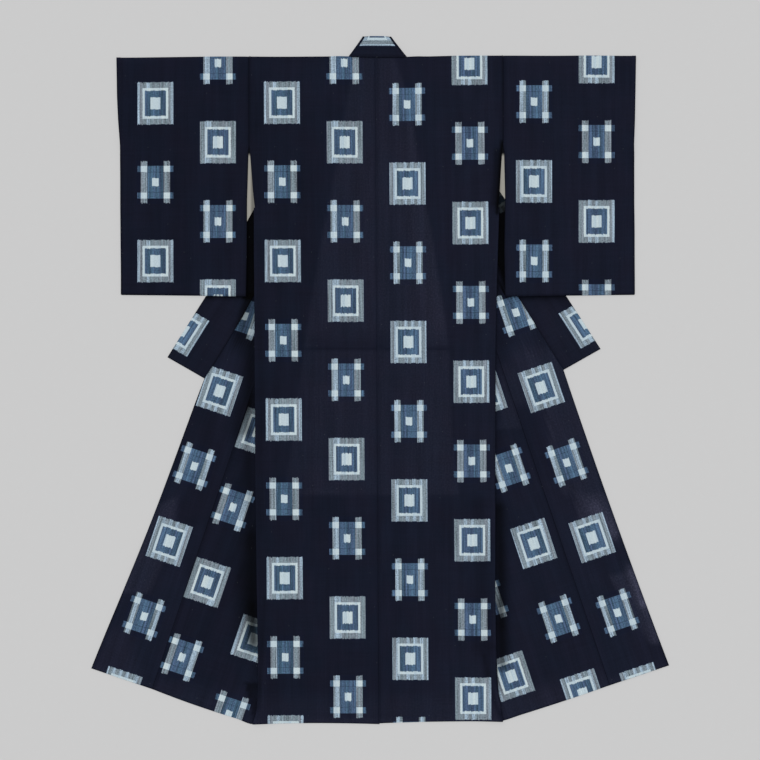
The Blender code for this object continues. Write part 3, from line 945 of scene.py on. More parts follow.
def sleeve_layer(side, cloth, upper, share, y):
    """A sleeve's upper or lower layer, from its cuff to the body, as one length folded at the shoulder."""
    cuff_x = column_at(SLEEVE_EDGES, f"{side}_cuff_x", y) - FRONTS[side].outwards * FOLD_REACH * roundness(y)
    body_x = column_at(SLEEVE_EDGES, f"{side}_body_x", y)
    x = mix(cuff_x, body_x, share)
    foot = mix(SLEEVE_CUFF_HEM_Y, SLEEVE_BODY_HEM_Y, share) + FOLD_REACH
    low = np.clip((CUFF_Y - y) / (CUFF_Y - SLEEVE_FOOT_Y), 0.0, 1.0)
    shown_y = y + (foot - SLEEVE_FOOT_Y) * low
    to_cuff = np.abs(x - cuff_x)
    to_body = np.abs(body_x - x)
    z = lower_z(x, shown_y) + CLOTH / 2
    v = 2.0 * SHOULDER_Y - shown_y
    if upper:
        hem = np.where(y > CUFF_Y, to_cuff, 1.0)
        z = z + LAYER + upper_lay(x, shown_y, cloth) + edged(to_body, hem, cloth)
        v = shown_y
    tone = toned(x, shown_y, f"sleeve_{side}") * seam_shade(np.minimum(to_cuff, y - SLEEVE_FOOT_Y))
    start_x = column_at(SLEEVE_EDGES, f"{side}_body_x", SHOULDER_Y)
    return placed(x, shown_y, z, x - start_x, v, tone * seam_shade(to_body, SLEEVE_SEAM_DEPTH))


def make_sleeve(side, cloth, finish):
    """A flat tube, folded at the shoulder, sewn along its hem and up its outer edge to the cuff."""
    sheet = Sheet()
    outwards = FRONTS[side].outwards
    near_foot = [SLEEVE_FOOT_Y + mark for mark in (0.0, *HEM_MARKS[:2])]
    rows = heights_between([*near_foot, CUFF_Y, ARMHOLE_Y, TOP_Y], cloth.cell)
    shares = divided(SLEEVE_WIDTH, cloth.cell, HEM_MARKS, SEAM_MARKS)[:, None]
    closed = int(np.sum(rows <= CUFF_Y + 1e-9))
    upper = sheet.add(sleeve_layer(side, cloth, True, shares, rows[None, :]))
    lower = sheet.add(sleeve_layer(side, cloth, False, shares, rows[None, :]))
    sheet.add_fold(upper[:, -1], lower[:, -1], (0.0, 1.0))
    sheet.add_fold(upper[:, 0], lower[:, 0], (0.0, -1.0), False)
    sheet.add_fold(upper[0, :closed], lower[0, :closed], (outwards, 0.0), False, roundness(rows[:closed]))
    sheet.add(sleeve_corner(upper[0, 0], lower[0, 0], outwards))
    sheet.made(f"sleeve_{side}", CLOTH, finish)


def sleeve_corner(upper, lower, outwards):
    """Turns the half round of a sleeve's hem into that of its outer edge, round the corner between them."""
    turn = math.pi * np.linspace(0.0, 1.0, FOLD_STEPS + 1)[:, None]
    heading = math.pi / 2 * np.linspace(0.0, 1.0, CORNER_STEPS + 1)[None, :]
    radius = (upper.points[2] - lower.points[2]) / 2
    middle = (upper.points + lower.points) / 2
    x = middle[0] + outwards * np.sin(heading) * radius * np.sin(turn)
    y = middle[1] - np.cos(heading) * radius * np.sin(turn)
    return placed(x, y, middle[2] + radius * np.cos(turn), *upper.grain, upper.tone)


def okumi_place(front, top_edge, share, rise):
    hem_x, hem_y = (mix(a, b, share) for a, b in zip(front.hem_corner, front.okumi_hem))
    top_x, top_y = along(top_edge, share * OKUMI_TOP_RUNG)
    sag = front.outwards * front.edge_sag * bow(rise) ** front.sag_power * (1.0 - share)
    return mix(hem_x, top_x, rise) - sag, mix(hem_y, top_y, rise)


def okumi_panel(side, cloth, share, rise):
    """The overlap panel, from its front edge to the okumi seam and from the hem up to the collar."""
    front = FRONTS[side]
    top_edge = seam_points(front, SEAM_GAP)[: OKUMI_TOP_RUNG + 1]
    x, y = okumi_place(front, top_edge, share, rise)
    ends = [okumi_place(front, top_edge, *place) for place in ((0.0, rise), (share, 0.0), (share, 1.0))]
    to_edge, to_hem, to_top = (np.hypot(x - end_x, y - end_y) for end_x, end_y in ends)
    to_edge = to_edge * OKUMI_SLANT
    hem = np.minimum(to_edge, to_hem)
    inset = np.minimum(distance_to(x, y, [front.okumi_hem, top_edge[-1]]), to_top)
    relief = edged(1.0, hem, cloth) * uncovered(x, y, RELIEF_START, RELIEF_FADE)
    z = CLOTH / 2 + lower_lay(x, y, cloth) + relief
    strip = 1.0 - cloth.hem_shade * smooth((STRIP_WIDTH - to_edge) / STRIP_FADE)
    tone = toned(x, y, f"okumi_{side}") * strip * seam_shade(inset, OKUMI_SEAM_DEPTH, OKUMI_SEAM_LINE)
    tone = tone * seam_shade(hem, OKUMI_HEM_DEPTH, OKUMI_HEM_LINE)
    return placed(x, y, z, *okumi_grain(front, top_edge[-1], x, y), tone)


def okumi_grain(front, seam_top, x, y):
    """The panel is cut along its seam: u is the distance from the seam, v the height along it."""
    ax, ay = front.okumi_hem
    length = math.dist(front.okumi_hem, seam_top)
    dx, dy = (seam_top[0] - ax) / length, (seam_top[1] - ay) / length
    u = ((x - ax) * dy - (y - ay) * dx) * front.outwards
    return u, (x - ax) * dx + (y - ay) * dy + OKUMI_GRAIN_V


def make_okumi(side, cloth, finish):
    """An overlap panel, one layer between the front's edge and the okumi seam."""
    sheet = Sheet()
    shares, rises = (divided(size, cloth.cell, HEM_MARKS, SEAM_MARKS) for size in (OKUMI_WIDTH, OKUMI_LENGTH))
    sheet.add(okumi_panel(side, cloth, shares[:, None], rises[None, :]))
    sheet.made(f"okumi_{side}", CLOTH, finish)


def collar_arm(front, cloth):
    """The band's arm on the floor, from its free edge to its seam and from its tip to the nape."""
    free, seam = free_points(front), seam_points(front)
    lengths = lengths_along(seam)
    counts = [max(2, round((b - a) / cloth.cell)) for a, b in zip(lengths, lengths[1:NAPE_RUNG])]
    index = [0.0, *(mark / lengths[1] for mark in TIP_MARKS)]
    for interval, count in enumerate([*counts, NAPE_STEPS]):
        index += [interval + (k + 1) / count for k in range(count)]
    index = np.unique(np.array(index))[None, :]
    shares = lapped(divided(ARM_WIDTH, cloth.cell, SEAM_MARKS, SEAM_MARKS), ARM_WIDTH, at_end=True)[:, None]
    free_x, free_y = along(free, index)
    seam_x, seam_y = along(seam, index)
    x, y = mix(free_x, seam_x, shares), mix(free_y, seam_y, shares)
    width = np.hypot(seam_x - free_x, seam_y - free_y)
    run = np.interp(index, np.arange(len(lengths)), lengths)
    to_seam = np.maximum(1.0 - shares, 0.0) * width
    z = COLLAR_CLOTH / 2 + lower_lay(x, y, cloth) + lip(to_seam)
    tone = toned(x, y, "collar") * seam_shade(np.minimum(shares * width, run))
    tone = tone * seam_shade(to_seam, COLLAR_SEAM_DEPTH, COLLAR_SEAM_LINE)
    return placed(x, y, z, shares * width + ARM_GRAIN_U, run + ARM_GRAIN_V, tone)


def make_collar(cloth, finish):
    """One band: an arm on the floor at each side, folded over to the stretch that stands at the nape."""
    sheet = Sheet()
    arms = [sheet.add(collar_arm(front, cloth)) for front in FRONTS.values()]
    low, high = ([arm.points[0, k] for arm in arms] for k in (-NAPE_STEPS - 1, -1))
    across = divided(NAPE_WIDTH, cloth.cell)[:, None]
    rise = lapped(np.linspace(0.0, 1.0, NAPE_STEPS + 1), NAPE_HEIGHT)[None, :]
    high_y = high[0][1] + NAPE_ARCH * (1.0 - (2.0 * across - 1.0) ** 4)
    x = mix(mix(low[0][0], low[1][0], across), mix(high[0][0], high[1][0], across), rise)
    y = mix(NECK_SEAM_Y, high_y, rise)
    to_seam = np.maximum(rise, 0.0) * NAPE_HEIGHT
    z = upper_z(x, y) + COLLAR_CLOTH / 2 + upper_lay(x, y, cloth) + lip(to_seam)
    tone = toned(x, y, "nape") * seam_shade(to_seam) * seam_shade((1.0 - rise) * NAPE_HEIGHT)
    u, v = NAPE_GRAIN_U - NAPE_HEIGHT * rise, NAPE_GRAIN_V + NAPE_GRAIN_LENGTH * across
    nape = sheet.add(placed(x, y, z, u, v, tone))
    for end, arm, outwards in ((0, arms[0], -1.0), (-1, arms[1], 1.0)):
        sheet.add_fold(nape[end, 1:], arm[0, -NAPE_STEPS - 1 :], (outwards, 0.0), False)
    sheet.made("collar", COLLAR_CLOTH, finish)


# Materials and stitches as nodes


def maths(operation, reflected=False):
    """A method of a wire that adds a Math node."""

    def method(self, *others):
        values = (*others, self) if reflected else (self, *others)
        return self.nodes.node("ShaderNodeMath", dict(enumerate(values)), operation=operation)

    return method


class Wire:
    """A node's output. Arithmetic on wires adds Math nodes."""

    def __init__(self, nodes, socket):
        self.nodes = nodes
        self.socket = socket

    __add__ = __radd__ = maths("ADD")
    __sub__ = maths("SUBTRACT")
    __rsub__ = maths("SUBTRACT", reflected=True)
    __mul__ = __rmul__ = maths("MULTIPLY")
    __truediv__ = maths("DIVIDE")
    __rtruediv__ = maths("DIVIDE", reflected=True)
    floor = maths("FLOOR")
    size = maths("ABSOLUTE")
    sine = maths("SINE")
    modulo = maths("FLOORED_MODULO")
    at_least = maths("MAXIMUM")
    at_most = maths("MINIMUM")
    above = maths("GREATER_THAN")


class Nodes:
    """Adds nodes to one tree."""

    def __init__(self, tree):
        self.tree = tree

    def node(self, kind, sockets=(), output=0, **settings):
        """Adds a node with its settings, then the values or wires of its sockets, by name or place."""
        made = self.tree.nodes.new(kind)
        for name, value in settings.items():
            setattr(made, name, value)
        self.feed(made, sockets)
        return Wire(self, made.outputs[output]) if made.outputs else made

    def feed(self, node, sockets):
        for name, value in dict(sockets).items():
            if isinstance(value, Wire):
                self.tree.links.new(value.socket, node.inputs[name])
            else:
                node.inputs[name].default_value = value


class Dyer(Nodes):
    """Adds nodes to one new material."""

    def __init__(self, name):
        self.material = bpy.data.materials.new(name)
        self.material.use_nodes = True
        super().__init__(self.material.node_tree)

    def finish(self, sockets):
        """Feeds the shader and returns the material."""
        self.feed(self.tree.nodes["Principled BSDF"], sockets)
        return self.material

    def parts(self, vector):
        """The first two parts of a vector."""
        return [self.node("ShaderNodeSeparateXYZ", {0: vector}, k) for k in (0, 1)]

    def soften(self, value, low, high):
        """A soft step from 0 at low to 1 at high."""
        ends = {"Value": value, "From Min": low, "From Max": high}
        return self.node("ShaderNodeMapRange", ends, interpolation_type="SMOOTHSTEP")

    def blend(self, share, first, second):
        """A colour between two others."""
        return self.node("ShaderNodeMix", {0: share, 6: first, 7: second}, 2, data_type="RGBA")

    def scaled(self, colour, factor):
        return self.node("ShaderNodeVectorMath", {0: colour, "Scale": factor}, operation="SCALE")

    def added(self, first, second):
        return self.node("ShaderNodeVectorMath", {0: first, 1: second}, operation="ADD")

    def place(self, x, y):
        return self.node("ShaderNodeCombineXYZ", {"X": x, "Y": y})

    def chance(self, value, width, salt):
        """A steady chance from 0 to 1 for each group of threads."""
        group = (value / width).floor() + salt
        return self.node("ShaderNodeTexWhiteNoise", {"W": group}, noise_dimensions="1D")

    def unevenness(self, x, y, detail=2.0):
        """Noise about 0.5, over a place that is already scaled."""
        sockets = {"Vector": self.place(x, y), "Scale": 1.0, "Detail": detail}
        return self.node("ShaderNodeTexNoise", sockets, noise_dimensions="2D")


class Figures:
    """Resist-dyed figures: nested squares and well-curbs in turn, in a half-drop over each width of cloth."""

    EDGE = 0.0006
    BLEED = 0.0022

    def __init__(self, dyer, dye, u, v):
        self.dyer = dyer
        self.dye = dye
        self.u = u
        self.v = v
        column = (u / dye.pitch_across).floor()
        drop = column.modulo(2.0) * (dye.pitch_along / 2)
        row = ((v + drop) / dye.pitch_along).floor()
        self.a = u - (column + 0.5) * dye.pitch_across
        self.b = v + drop - (row + 0.5) * dye.pitch_along
        self.curbs = (row + column * 0.5 + 0.25).modulo(2.0).above(1.0)
        self.wide, self.long, self.bar = dye.figure_width / 2, dye.figure_length / 2, dye.bar_width

    def box(self, a, b, half_width, half_length, soft=EDGE):
        """1 inside a rectangle about the figure's middle."""
        inside = self.dyer.soften(half_width - a.size(), -soft, soft)
        return inside * self.dyer.soften(half_length - b.size(), -soft, soft)

    def inset(self, a, b, across, along):
        """A rectangle so many bar widths inside the figure's outline."""
        return self.box(a, b, self.wide - self.bar * across, self.long - self.bar * along)

    def heart(self, a, b, across, along):
        """A rectangle that reaches so many bar widths from the figure's middle."""
        return self.box(a, b, self.bar * across, self.bar * along)

    def bars(self, a, b, at_across, at_along, half_bar):
        """Two upright bars, at_across from the middle to each one's axis and at_along to their ends."""
        return self.box(a.size() - at_across, b, half_bar, at_along)

    def warp_mask(self):
        """Where the lengthwise threads stay undyed. Each group of them lies a little off along the cloth."""
        slip = (self.dyer.chance(self.u, 0.003, 11.0) - 0.5) * self.dye.slip
        fine = (self.dyer.chance(self.u, 0.0009, 47.0) - 0.5) * (self.dye.slip * 0.8)
        a, b = self.a, self.b + slip + fine
        border = self.inset(a, b, 0.0, 0.0) - self.inset(a, b, 1.30, 1.48)
        squares = border.at_least(self.heart(a, b, 0.88, 1.06))
        posts = self.bars(a, b, self.wide - self.bar * 1.16, self.long, self.bar * 0.56)
        return self.choose(squares, posts.at_least(self.heart(a, b, 0.58, 0.72)))

    def weft_mask(self):
        """Where the crosswise threads stay undyed. Each group lies a little off across the cloth."""
        a, b = self.a + (self.dyer.chance(self.v, 0.0028, 83.0) - 0.5) * (self.dye.slip * 0.45), self.b
        squares = self.inset(a, b, 0.90, 1.01)
        rails = self.bars(b, a, self.long - self.bar * 1.36, self.wide, self.bar * 0.54)
        return self.choose(squares, rails.at_least(self.inset(a, b, 1.74, 1.94)))

    def choose(self, squares, curbs):
        return squares * (1.0 - self.curbs) + curbs * self.curbs

    def bleed(self):
        """Where a little of the dye has crept to just outside a figure."""
        area = self.box(self.a, self.b, self.wide + self.BLEED, self.long + self.BLEED, self.BLEED * 0.9)
        return area * (1.0 - self.curbs * 0.7)


def tinted(colour, red, green, blue):
    """A colour with each of its parts made stronger or weaker."""
    return colour[0] * red, colour[1] * green, colour[2] * blue, 1.0


def cotton(name, navy, dye, weave):
    """Plain-woven cotton yarn cloth: navy ground, paler figures where threads were kept from the dye."""
    dyer = Dyer(name)
    u, v = dyer.parts(dyer.node("ShaderNodeUVMap", uv_map="grain"))
    tone = dyer.node("ShaderNodeAttribute", output="Fac", attribute_name="tone")
    figures = Figures(dyer, dye, u, v)
    warp, weft = figures.warp_mask(), figures.weft_mask()
    light = warp.at_least(weft)

    streak = dyer.unevenness(u * 300.0, v * 9.0, 3.0) - 0.5
    fleck = dyer.unevenness(u * 380.0, v * 330.0) - 0.5
    cloudy = dyer.unevenness(u * 22.0, v * 14.0) - 0.5
    batches = dyer.unevenness(u * 48.0, v * 1.6, 1.0) - 0.5
    wefts = dyer.unevenness(u * 9.0, v * 300.0) - 0.5
    warmth = dyer.soften(dyer.unevenness(u * 13.0, v * 10.0, 3.0), 0.30, 0.70)
    light_mottle = dyer.soften(dyer.unevenness(u * 280.0, v * 240.0), 0.38, 0.72)

    ground = dyer.blend(warmth, tinted(navy, 0.94, 1.012, 1.01), tinted(navy, 1.08, 0.985, 0.99))
    ground = dyer.blend(figures.bleed() * 0.55, ground, dye.bled)
    lilac = dyer.chance(u, 0.0046, 29.0) * 0.9
    crossed = dyer.blend(lilac, dye.warp_only, dye.warp_lilac)
    half_dyed = dyer.blend(dyer.chance(u, 0.0082, 5.0).above(0.62), crossed, dye.warp_paler)
    blue = dyer.blend(lilac, dye.weft_only, dye.weft_violet)
    blue = dyer.scaled(blue, 0.74 + dyer.chance(u, 0.0038, 53.0) * 0.60)
    white = dyer.blend(dyer.chance(u, 0.0064, 71.0), dye.undyed, dye.undyed_blue)
    colour = dyer.blend(warp, dyer.blend(weft, ground, blue), dyer.blend(weft, half_dyed, white))

    both = warp * weft
    half = light * (1.0 - both)
    thread_shade = 1.0 + streak * (0.34 + half * 1.30 - both * 0.10) + fleck * (0.34 + half * 1.20)
    uneven = 1.0 + batches * 0.34 + wefts * 0.24 + cloudy * 0.22
    # Painted shade where the tone is below 1, together with the cloth's own unevenness: the navy darkens, the
    # figures less
    dark_part = tone.at_most(1.0)
    shade = dark_part * uneven * (1.0 - light) + dyer.soften(dark_part, -0.05, 0.85) * light
    # Painted light where the tone is above 1: a mottled haze of light through the cloth and sheen off it
    painted_light = (tone.at_least(1.0) - 1.0) * (0.72 + light_mottle * 0.85 + streak * 0.6)
    painted_light = painted_light * (1.0 + batches * 0.2) * (1.0 - light * 0.85)
    colour = dyer.added(dyer.scaled(colour, shade * thread_shade), dyer.scaled(dye.painted_light[:3], painted_light))

    specks = {"Vector": dyer.place(u, v * 0.6), "Scale": 14.0}
    away = dyer.node("ShaderNodeTexVoronoi", specks, "Distance", voronoi_dimensions="2D", feature="F1")
    lint = dyer.soften(0.010 - away, 0.0, 0.004) * (1.0 - light)
    colour = dyer.blend(lint * 0.07, colour, dye.undyed)

    pitch = 2.0 * math.pi / weave.thread_pitch
    over = (u * pitch).sine() * (v * pitch).sine()
    slubs = dyer.unevenness(u * 1500.0, v * 60.0) + dyer.unevenness(u * 60.0, v * 1300.0)
    height = over * 0.35 + slubs * 0.8 + cloudy * 1.5
    bump = dyer.node("ShaderNodeBump", {"Strength": weave.relief, "Distance": 0.0004, "Height": height})
    return dyer.finish({
        "Base Color": colour,
        "Roughness": 0.86 + fleck * 0.10 - light * 0.05,
        "Normal": bump,
        "Metallic": 0.0,
        "Specular IOR Level": weave.gloss,
    })


def thread_finish(stitching):
    """Sewing thread: a twisted cotton with a faint gloss."""
    dyer = Dyer("sewing_thread")
    x, y = dyer.parts(dyer.node("ShaderNodeTexCoord", output="Object"))
    twist = ((x + y) * 9000.0).sine() * 0.5 + 0.5
    dyed = dyer.blend(twist, tinted(stitching.colour, 0.8, 0.8, 0.8), stitching.colour)
    return dyer.finish({"Base Color": dyed, "Roughness": 0.7 + twist * 0.1})


def floor_finish(stage):
    """A pale, matt ground with a very faint paper grain, and painted shade in the vents, near black at their
    tops.
    """
    dyer = Dyer("floor_paper")
    x, y = dyer.parts(dyer.node("ShaderNodeTexCoord", output="Object"))
    grain = dyer.unevenness(x * 60.0, y * 60.0, 3.0) - 0.5
    right = x.above(0.0)
    off_middle = x - VENT_LEFT_X - right * (VENT_RIGHT_X - VENT_LEFT_X)
    across = dyer.soften(VENT_REACH_X - off_middle.size(), 0.0, VENT_SOFT)
    down = dyer.soften(VENT_REACH_Y - (y - VENT_MIDDLE_Y).size(), 0.0, VENT_SOFT)
    # Painted shadow along each vent's side by the back, and a painted near-black shadow at its top
    shadow_edge = dyer.soften(off_middle * (right * 2.0 - 1.0), 0.004, -0.003)
    shade = dyer.blend(shadow_edge, stage.vent_colour, tinted(stage.vent_colour, 0.5, 0.5, 0.5))
    shade = dyer.blend(dyer.soften(y, VENT_TOP_Y, CUFF_Y), shade, stage.vent_top_shadow)
    paper = dyer.scaled(dyer.blend(across * down, stage.floor_colour, shade), 1.0 + grain * 0.012)
    return dyer.finish({
        "Base Color": dyer.scaled(paper, stage.floor_shaded),
        "Emission Color": paper,
        "Emission Strength": (1.0 - stage.floor_shaded) * stage.floor_glow,
        "Roughness": 0.95 + grain * 0.05,
        "Specular IOR Level": 0.0,
    })


def stitch_tree(finish):
    """Short stitches, evenly spaced along a line, each a little off its place and size."""
    tree = bpy.data.node_groups.new("Blind Stitches", "GeometryNodeTree")
    tree.interface.new_socket("Geometry", in_out="INPUT", socket_type="NodeSocketGeometry")
    tree.interface.new_socket("Geometry", in_out="OUTPUT", socket_type="NodeSocketGeometry")
    sockets = {}
    for name, kind, default in STITCH_SOCKETS:
        made = tree.interface.new_socket(name, in_out="INPUT", socket_type=f"NodeSocket{kind}")
        made.default_value = default
        sockets[name.lower()] = made.identifier

    nodes = Nodes(tree)
    names = ("Geometry", *(row[0] for row in STITCH_SOCKETS))
    line, spacing, length, thickness, seed = (nodes.node("NodeGroupInput", output=name) for name in names)
    path = nodes.node("GeometryNodeMeshToCurve", {"Mesh": line})
    spaced = nodes.node("GeometryNodeResampleCurve", {"Curve": path, "Length": spacing}, mode="LENGTH")
    tangent = nodes.node("GeometryNodeInputTangent")
    heading = nodes.node("FunctionNodeAlignRotationToVector", {"Vector": tangent}, axis="X")
    chance = nodes.node("FunctionNodeRandomValue", {2: 0.75, 3: 1.2, "Seed": seed}, 1, data_type="FLOAT")
    size = nodes.node("ShaderNodeCombineXYZ", {"X": length * chance, "Y": thickness, "Z": thickness})
    bead = nodes.node("GeometryNodeMeshUVSphere", {"Segments": 6, "Rings": 4, "Radius": 0.5}, "Mesh")
    given = {"Points": spaced, "Instance": bead, "Rotation": heading, "Scale": size}
    real = nodes.node("GeometryNodeRealizeInstances", {0: nodes.node("GeometryNodeInstanceOnPoints", given)})
    nodes.node("NodeGroupOutput", {0: nodes.node("GeometryNodeSetMaterial", {0: real, "Material": finish})})
    return tree, sockets


def stitch_lines(cloth):
    """The lines of blind stitches for each cloth: just inside its turned edges, on its upper face."""
    inside = cloth.hem_width - STITCH_INSET
    found = {}
    for side in FRONTS:
        body = BodyLay(side, cloth)
        hem_y = np.full(BODY_POINTS, body.hem + inside)
        cuff_y = np.linspace(CUFF_Y + STITCH_END, TOP_Y - STITCH_END, SHORT_POINTS)
        cuff_shares = np.full(SHORT_POINTS, inside / SLEEVE_WIDTH)
        edge_shares = np.full(EDGE_POINTS, inside / OKUMI_WIDTH)
        hem_rises = np.full(SHORT_POINTS, inside / OKUMI_LENGTH)
        found[f"body_{side}"] = [
            body.back(np.linspace(0.012, 0.988, BODY_POINTS), hem_y),
            body.opened(np.linspace(0.03, 0.94, BODY_POINTS), hem_y),
        ]
        found[f"sleeve_{side}"] = [sleeve_layer(side, cloth, True, cuff_shares, cuff_y)]
        found[f"okumi_{side}"] = [
            okumi_panel(side, cloth, edge_shares, np.linspace(0.010, 0.975, EDGE_POINTS)),
            okumi_panel(side, cloth, np.linspace(0.08, 0.97, SHORT_POINTS), hem_rises),
        ]
    return found


def make_stitches(node, lines, tree, sockets, stitching):
    """Runs the stitch tree along the lines and keeps its result as a plain mesh."""
    points, edges = [], []
    for line in lines:
        start = len(points)
        points += [(x, y, z + CLOTH / 2 + stitching.thickness * 0.1) for x, y, z in line.points.tolist()]
        edges += [(k, k + 1) for k in range(start, len(points) - 1)]
    guide_mesh = bpy.data.meshes.new(f"{node}_stitch_lines")
    guide_mesh.from_pydata(points, edges, [])
    guide = linked(guide_mesh)
    sewing = guide.modifiers.new("stitches", "NODES")
    sewing.node_group = tree
    for name, socket in sockets.items():
        sewing[socket] = getattr(stitching, name)
    mesh = bpy.data.meshes.new_from_object(guide.evaluated_get(bpy.context.evaluated_depsgraph_get()))
    mesh.name = f"{node}_stitches"
    bpy.data.objects.remove(guide)
    bpy.data.meshes.remove(guide_mesh)
    mesh.shade_smooth()
    return linked(mesh)


# Settings


def metres(name, description, default, lowest=0.0):
    return bpy.props.FloatProperty(
        name=name, description=description, default=default, min=lowest, unit="LENGTH"
    )


def factor(name, description, default):
    return bpy.props.FloatProperty(name=name, description=description, default=default, subtype="FACTOR")


def strength(name, description, default):
    return bpy.props.FloatProperty(name=name, description=description, default=default, min=0.0)


def tint(name, description, *default):
    return bpy.props.FloatVectorProperty(
        name=name, description=description, default=(*default, 1.0), size=4, subtype="COLOR"
    )


class KimonoCloth(bpy.types.PropertyGroup):
    cell: metres("Cell", "Size of the cloths' grid squares", 0.007, 0.004)
    wave_height: metres("Waves", "Height of the slow waves in the lay", 0.0015)
    seam_roll: metres("Seam Roll", "How far a cloth dips at its seams", 0.0005)
    hem_step: metres("Hem Step", "How much thicker a turned hem is", 0.0007)
    hem_width: metres("Hem Width", "Width of the turned hems", 0.010, 0.004)
    hem_shade: factor("Edge Shade", "How much darker the front edge's double strip is", 0.16)
    tuck_step: metres("Tuck Step", "How far the cloth steps up over the waist tuck", 0.0004)
    tuck_shade: factor("Tuck Shade", "How dark the shade above the waist tuck is", 0.20)
    thread_pitch: metres("Thread Pitch", "Two threads of the weave", 0.0011, 0.0005)
    relief: factor("Weave Relief", "Strength of the weave's relief", 0.45)
    gloss: factor("Gloss", "Mirror-like share of the cotton's light", 0.06)


class KimonoDye(bpy.types.PropertyGroup):
    body_navy: tint("Body Navy", "Ground of the body lengths", 0.0090, 0.0114, 0.0250)
    sleeve_navy: tint("Sleeve Navy", "Ground of the sleeves", 0.0086, 0.0108, 0.0240)
    okumi_navy: tint("Okumi Navy", "Ground of the overlap panels", 0.0096, 0.0121, 0.0264)
    collar_navy: tint("Collar Navy", "Ground of the collar", 0.0090, 0.0112, 0.0240)
    undyed: tint("Undyed", "Both threads kept from the dye", 0.70, 0.82, 0.855)
    undyed_blue: tint("Bluish Undyed", "Undyed thread groups that look bluish", 0.55, 0.69, 0.79)
    warp_only: tint("Warp Only", "Undyed warp crossed by navy", 0.231, 0.304, 0.352)
    warp_paler: tint("Paler Warp", "Undyed warp groups crossed by pale blue", 0.36, 0.475, 0.585)
    warp_lilac: tint("Lilac Warp", "Undyed warp groups that look lilac", 0.240, 0.277, 0.331)
    weft_only: tint("Weft Only", "Undyed weft crossed by navy", 0.066, 0.130, 0.206)
    weft_violet: tint("Violet Weft", "Weft groups crossed by a redder navy", 0.074, 0.117, 0.214)
    bled: tint("Bled Dye", "Navy round a figure, where the dye crept", 0.0040, 0.0095, 0.0340)
    # Painted light: the colour of the haze of light through the cloth and sheen off it
    painted_light: tint("Haze", "What light through the cloth or off it adds to the navy", 0.0130, 0.0130, 0.0205)
    figure_width: metres("Figure Width", "Width of a woven figure", 0.086)
    figure_length: metres("Figure Length", "Length of a woven figure", 0.101)
    bar_width: metres("Bar Width", "Width of a figure's frame or bar", 0.0135)
    pitch_across: metres("Pitch Across", "From one column of figures to the next", 0.150)
    pitch_along: metres("Pitch Along", "From one figure to the next in a column", 0.190)
    slip: metres("Slip", "How far thread groups lie off their place", 0.0019)


class KimonoStitching(bpy.types.PropertyGroup):
    spacing: metres("Spacing", "From one blind stitch to the next", 0.012, 0.004)
    length: metres("Length", "Length of a blind stitch", 0.0022)
    thickness: metres("Thickness", "Thickness of the thread", 0.0004)
    seed: bpy.props.IntProperty(name="Seed", description="Which unevenness the stitches have", default=7)
    colour: tint("Thread", "Colour of the sewing thread", 0.020, 0.024, 0.042)


class KimonoStage(bpy.types.PropertyGroup):
    floor_colour: tint("Floor", "Colour of the floor", 0.750, 0.750, 0.752)
    # The floor in the vents is painted with shade, and painted near black at their tops
    vent_colour: tint("Floor in Vents", "Colour of the floor in a vent's shade", 0.425, 0.412, 0.368)
    vent_top_shadow: tint("Floor at Vent Tops", "Colour of a vent's closed upper end", 0.006, 0.007, 0.010)
    floor_shaded: factor("Floor Shaded", "Share of the floor that takes shadows", 0.22)
    floor_glow: strength("Floor Glow", "Light of the floor's share without shadows", 0.796)
    room_light: strength("Room Light", "Strength of the even light from all round", 0.60)
    key_light: strength("Key Light", "Strength of the soft light from the upper left", 0.84)
    shown_width: metres("Shown Width", "Width of floor that the camera sees", 1.824)
    lens: bpy.props.FloatProperty(
        name="Lens", description="Focal length of the camera", default=100.0, subtype="DISTANCE_CAMERA"
    )


# Operators


def dyed_cotton(scene, kind):
    """The cotton of one kind of piece, in that kind's own navy."""
    dye = scene.kimono_dye
    return cotton(f"{kind}_cotton", getattr(dye, f"{kind}_navy"), dye, scene.kimono_cloth)


def make_pair(scene, kind, make):
    """Makes a kind of piece for both sides, of one cotton."""
    finish = dyed_cotton(scene, kind)
    for side in FRONTS:
        make(side, scene.kimono_cloth, finish)


def finished_cloth(piece, node):
    """Attaches a cloth to the root body and hides the model's part of its node."""
    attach(piece, "root")
    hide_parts(node)


class KIMONO_OT_stage(bpy.types.Operator):
    """Make the floor, the soft light and the camera straight above the back"""

    bl_idname = "kimono.stage"
    bl_label = "Stage"

    def execute(self, context):
        scene, stage = context.scene, context.scene.kimono_stage
        floor_z = cad_box[0][2] - FLOOR_GAP
        signs = ((-1, -1), (1, -1), (1, 1), (-1, 1))
        corners = [(x * FLOOR_REACH, y * FLOOR_REACH, floor_z) for x, y in signs]
        mesh = bpy.data.meshes.new("floor")
        mesh.from_pydata(corners, [], [(0, 1, 2, 3)])
        mesh.materials.append(floor_finish(stage))
        linked(mesh)

        world = bpy.data.worlds.new("soft_room")
        world.use_nodes = True
        backdrop = world.node_tree.nodes["Background"]
        backdrop.inputs["Color"].default_value = (1.0, 1.0, 1.0, 1.0)
        backdrop.inputs["Strength"].default_value = stage.room_light
        scene.world = world

        key = bpy.data.lights.new("window_light", "SUN")
        key.energy = stage.key_light
        key.angle = math.radians(50.0)
        linked(key).rotation_euler = (math.radians(-32.0), math.radians(-28.0), 0.0)

        lens = bpy.data.cameras.new("camera")
        lens.lens = stage.lens
        lens.sensor_width = 36.0
        lens.clip_end = 100.0
        scene.camera = linked(lens)
        scene.camera.location = (0.0, 0.0, stage.shown_width * stage.lens / lens.sensor_width)
        scene.view_settings.view_transform = "Standard"
        return {"FINISHED"}


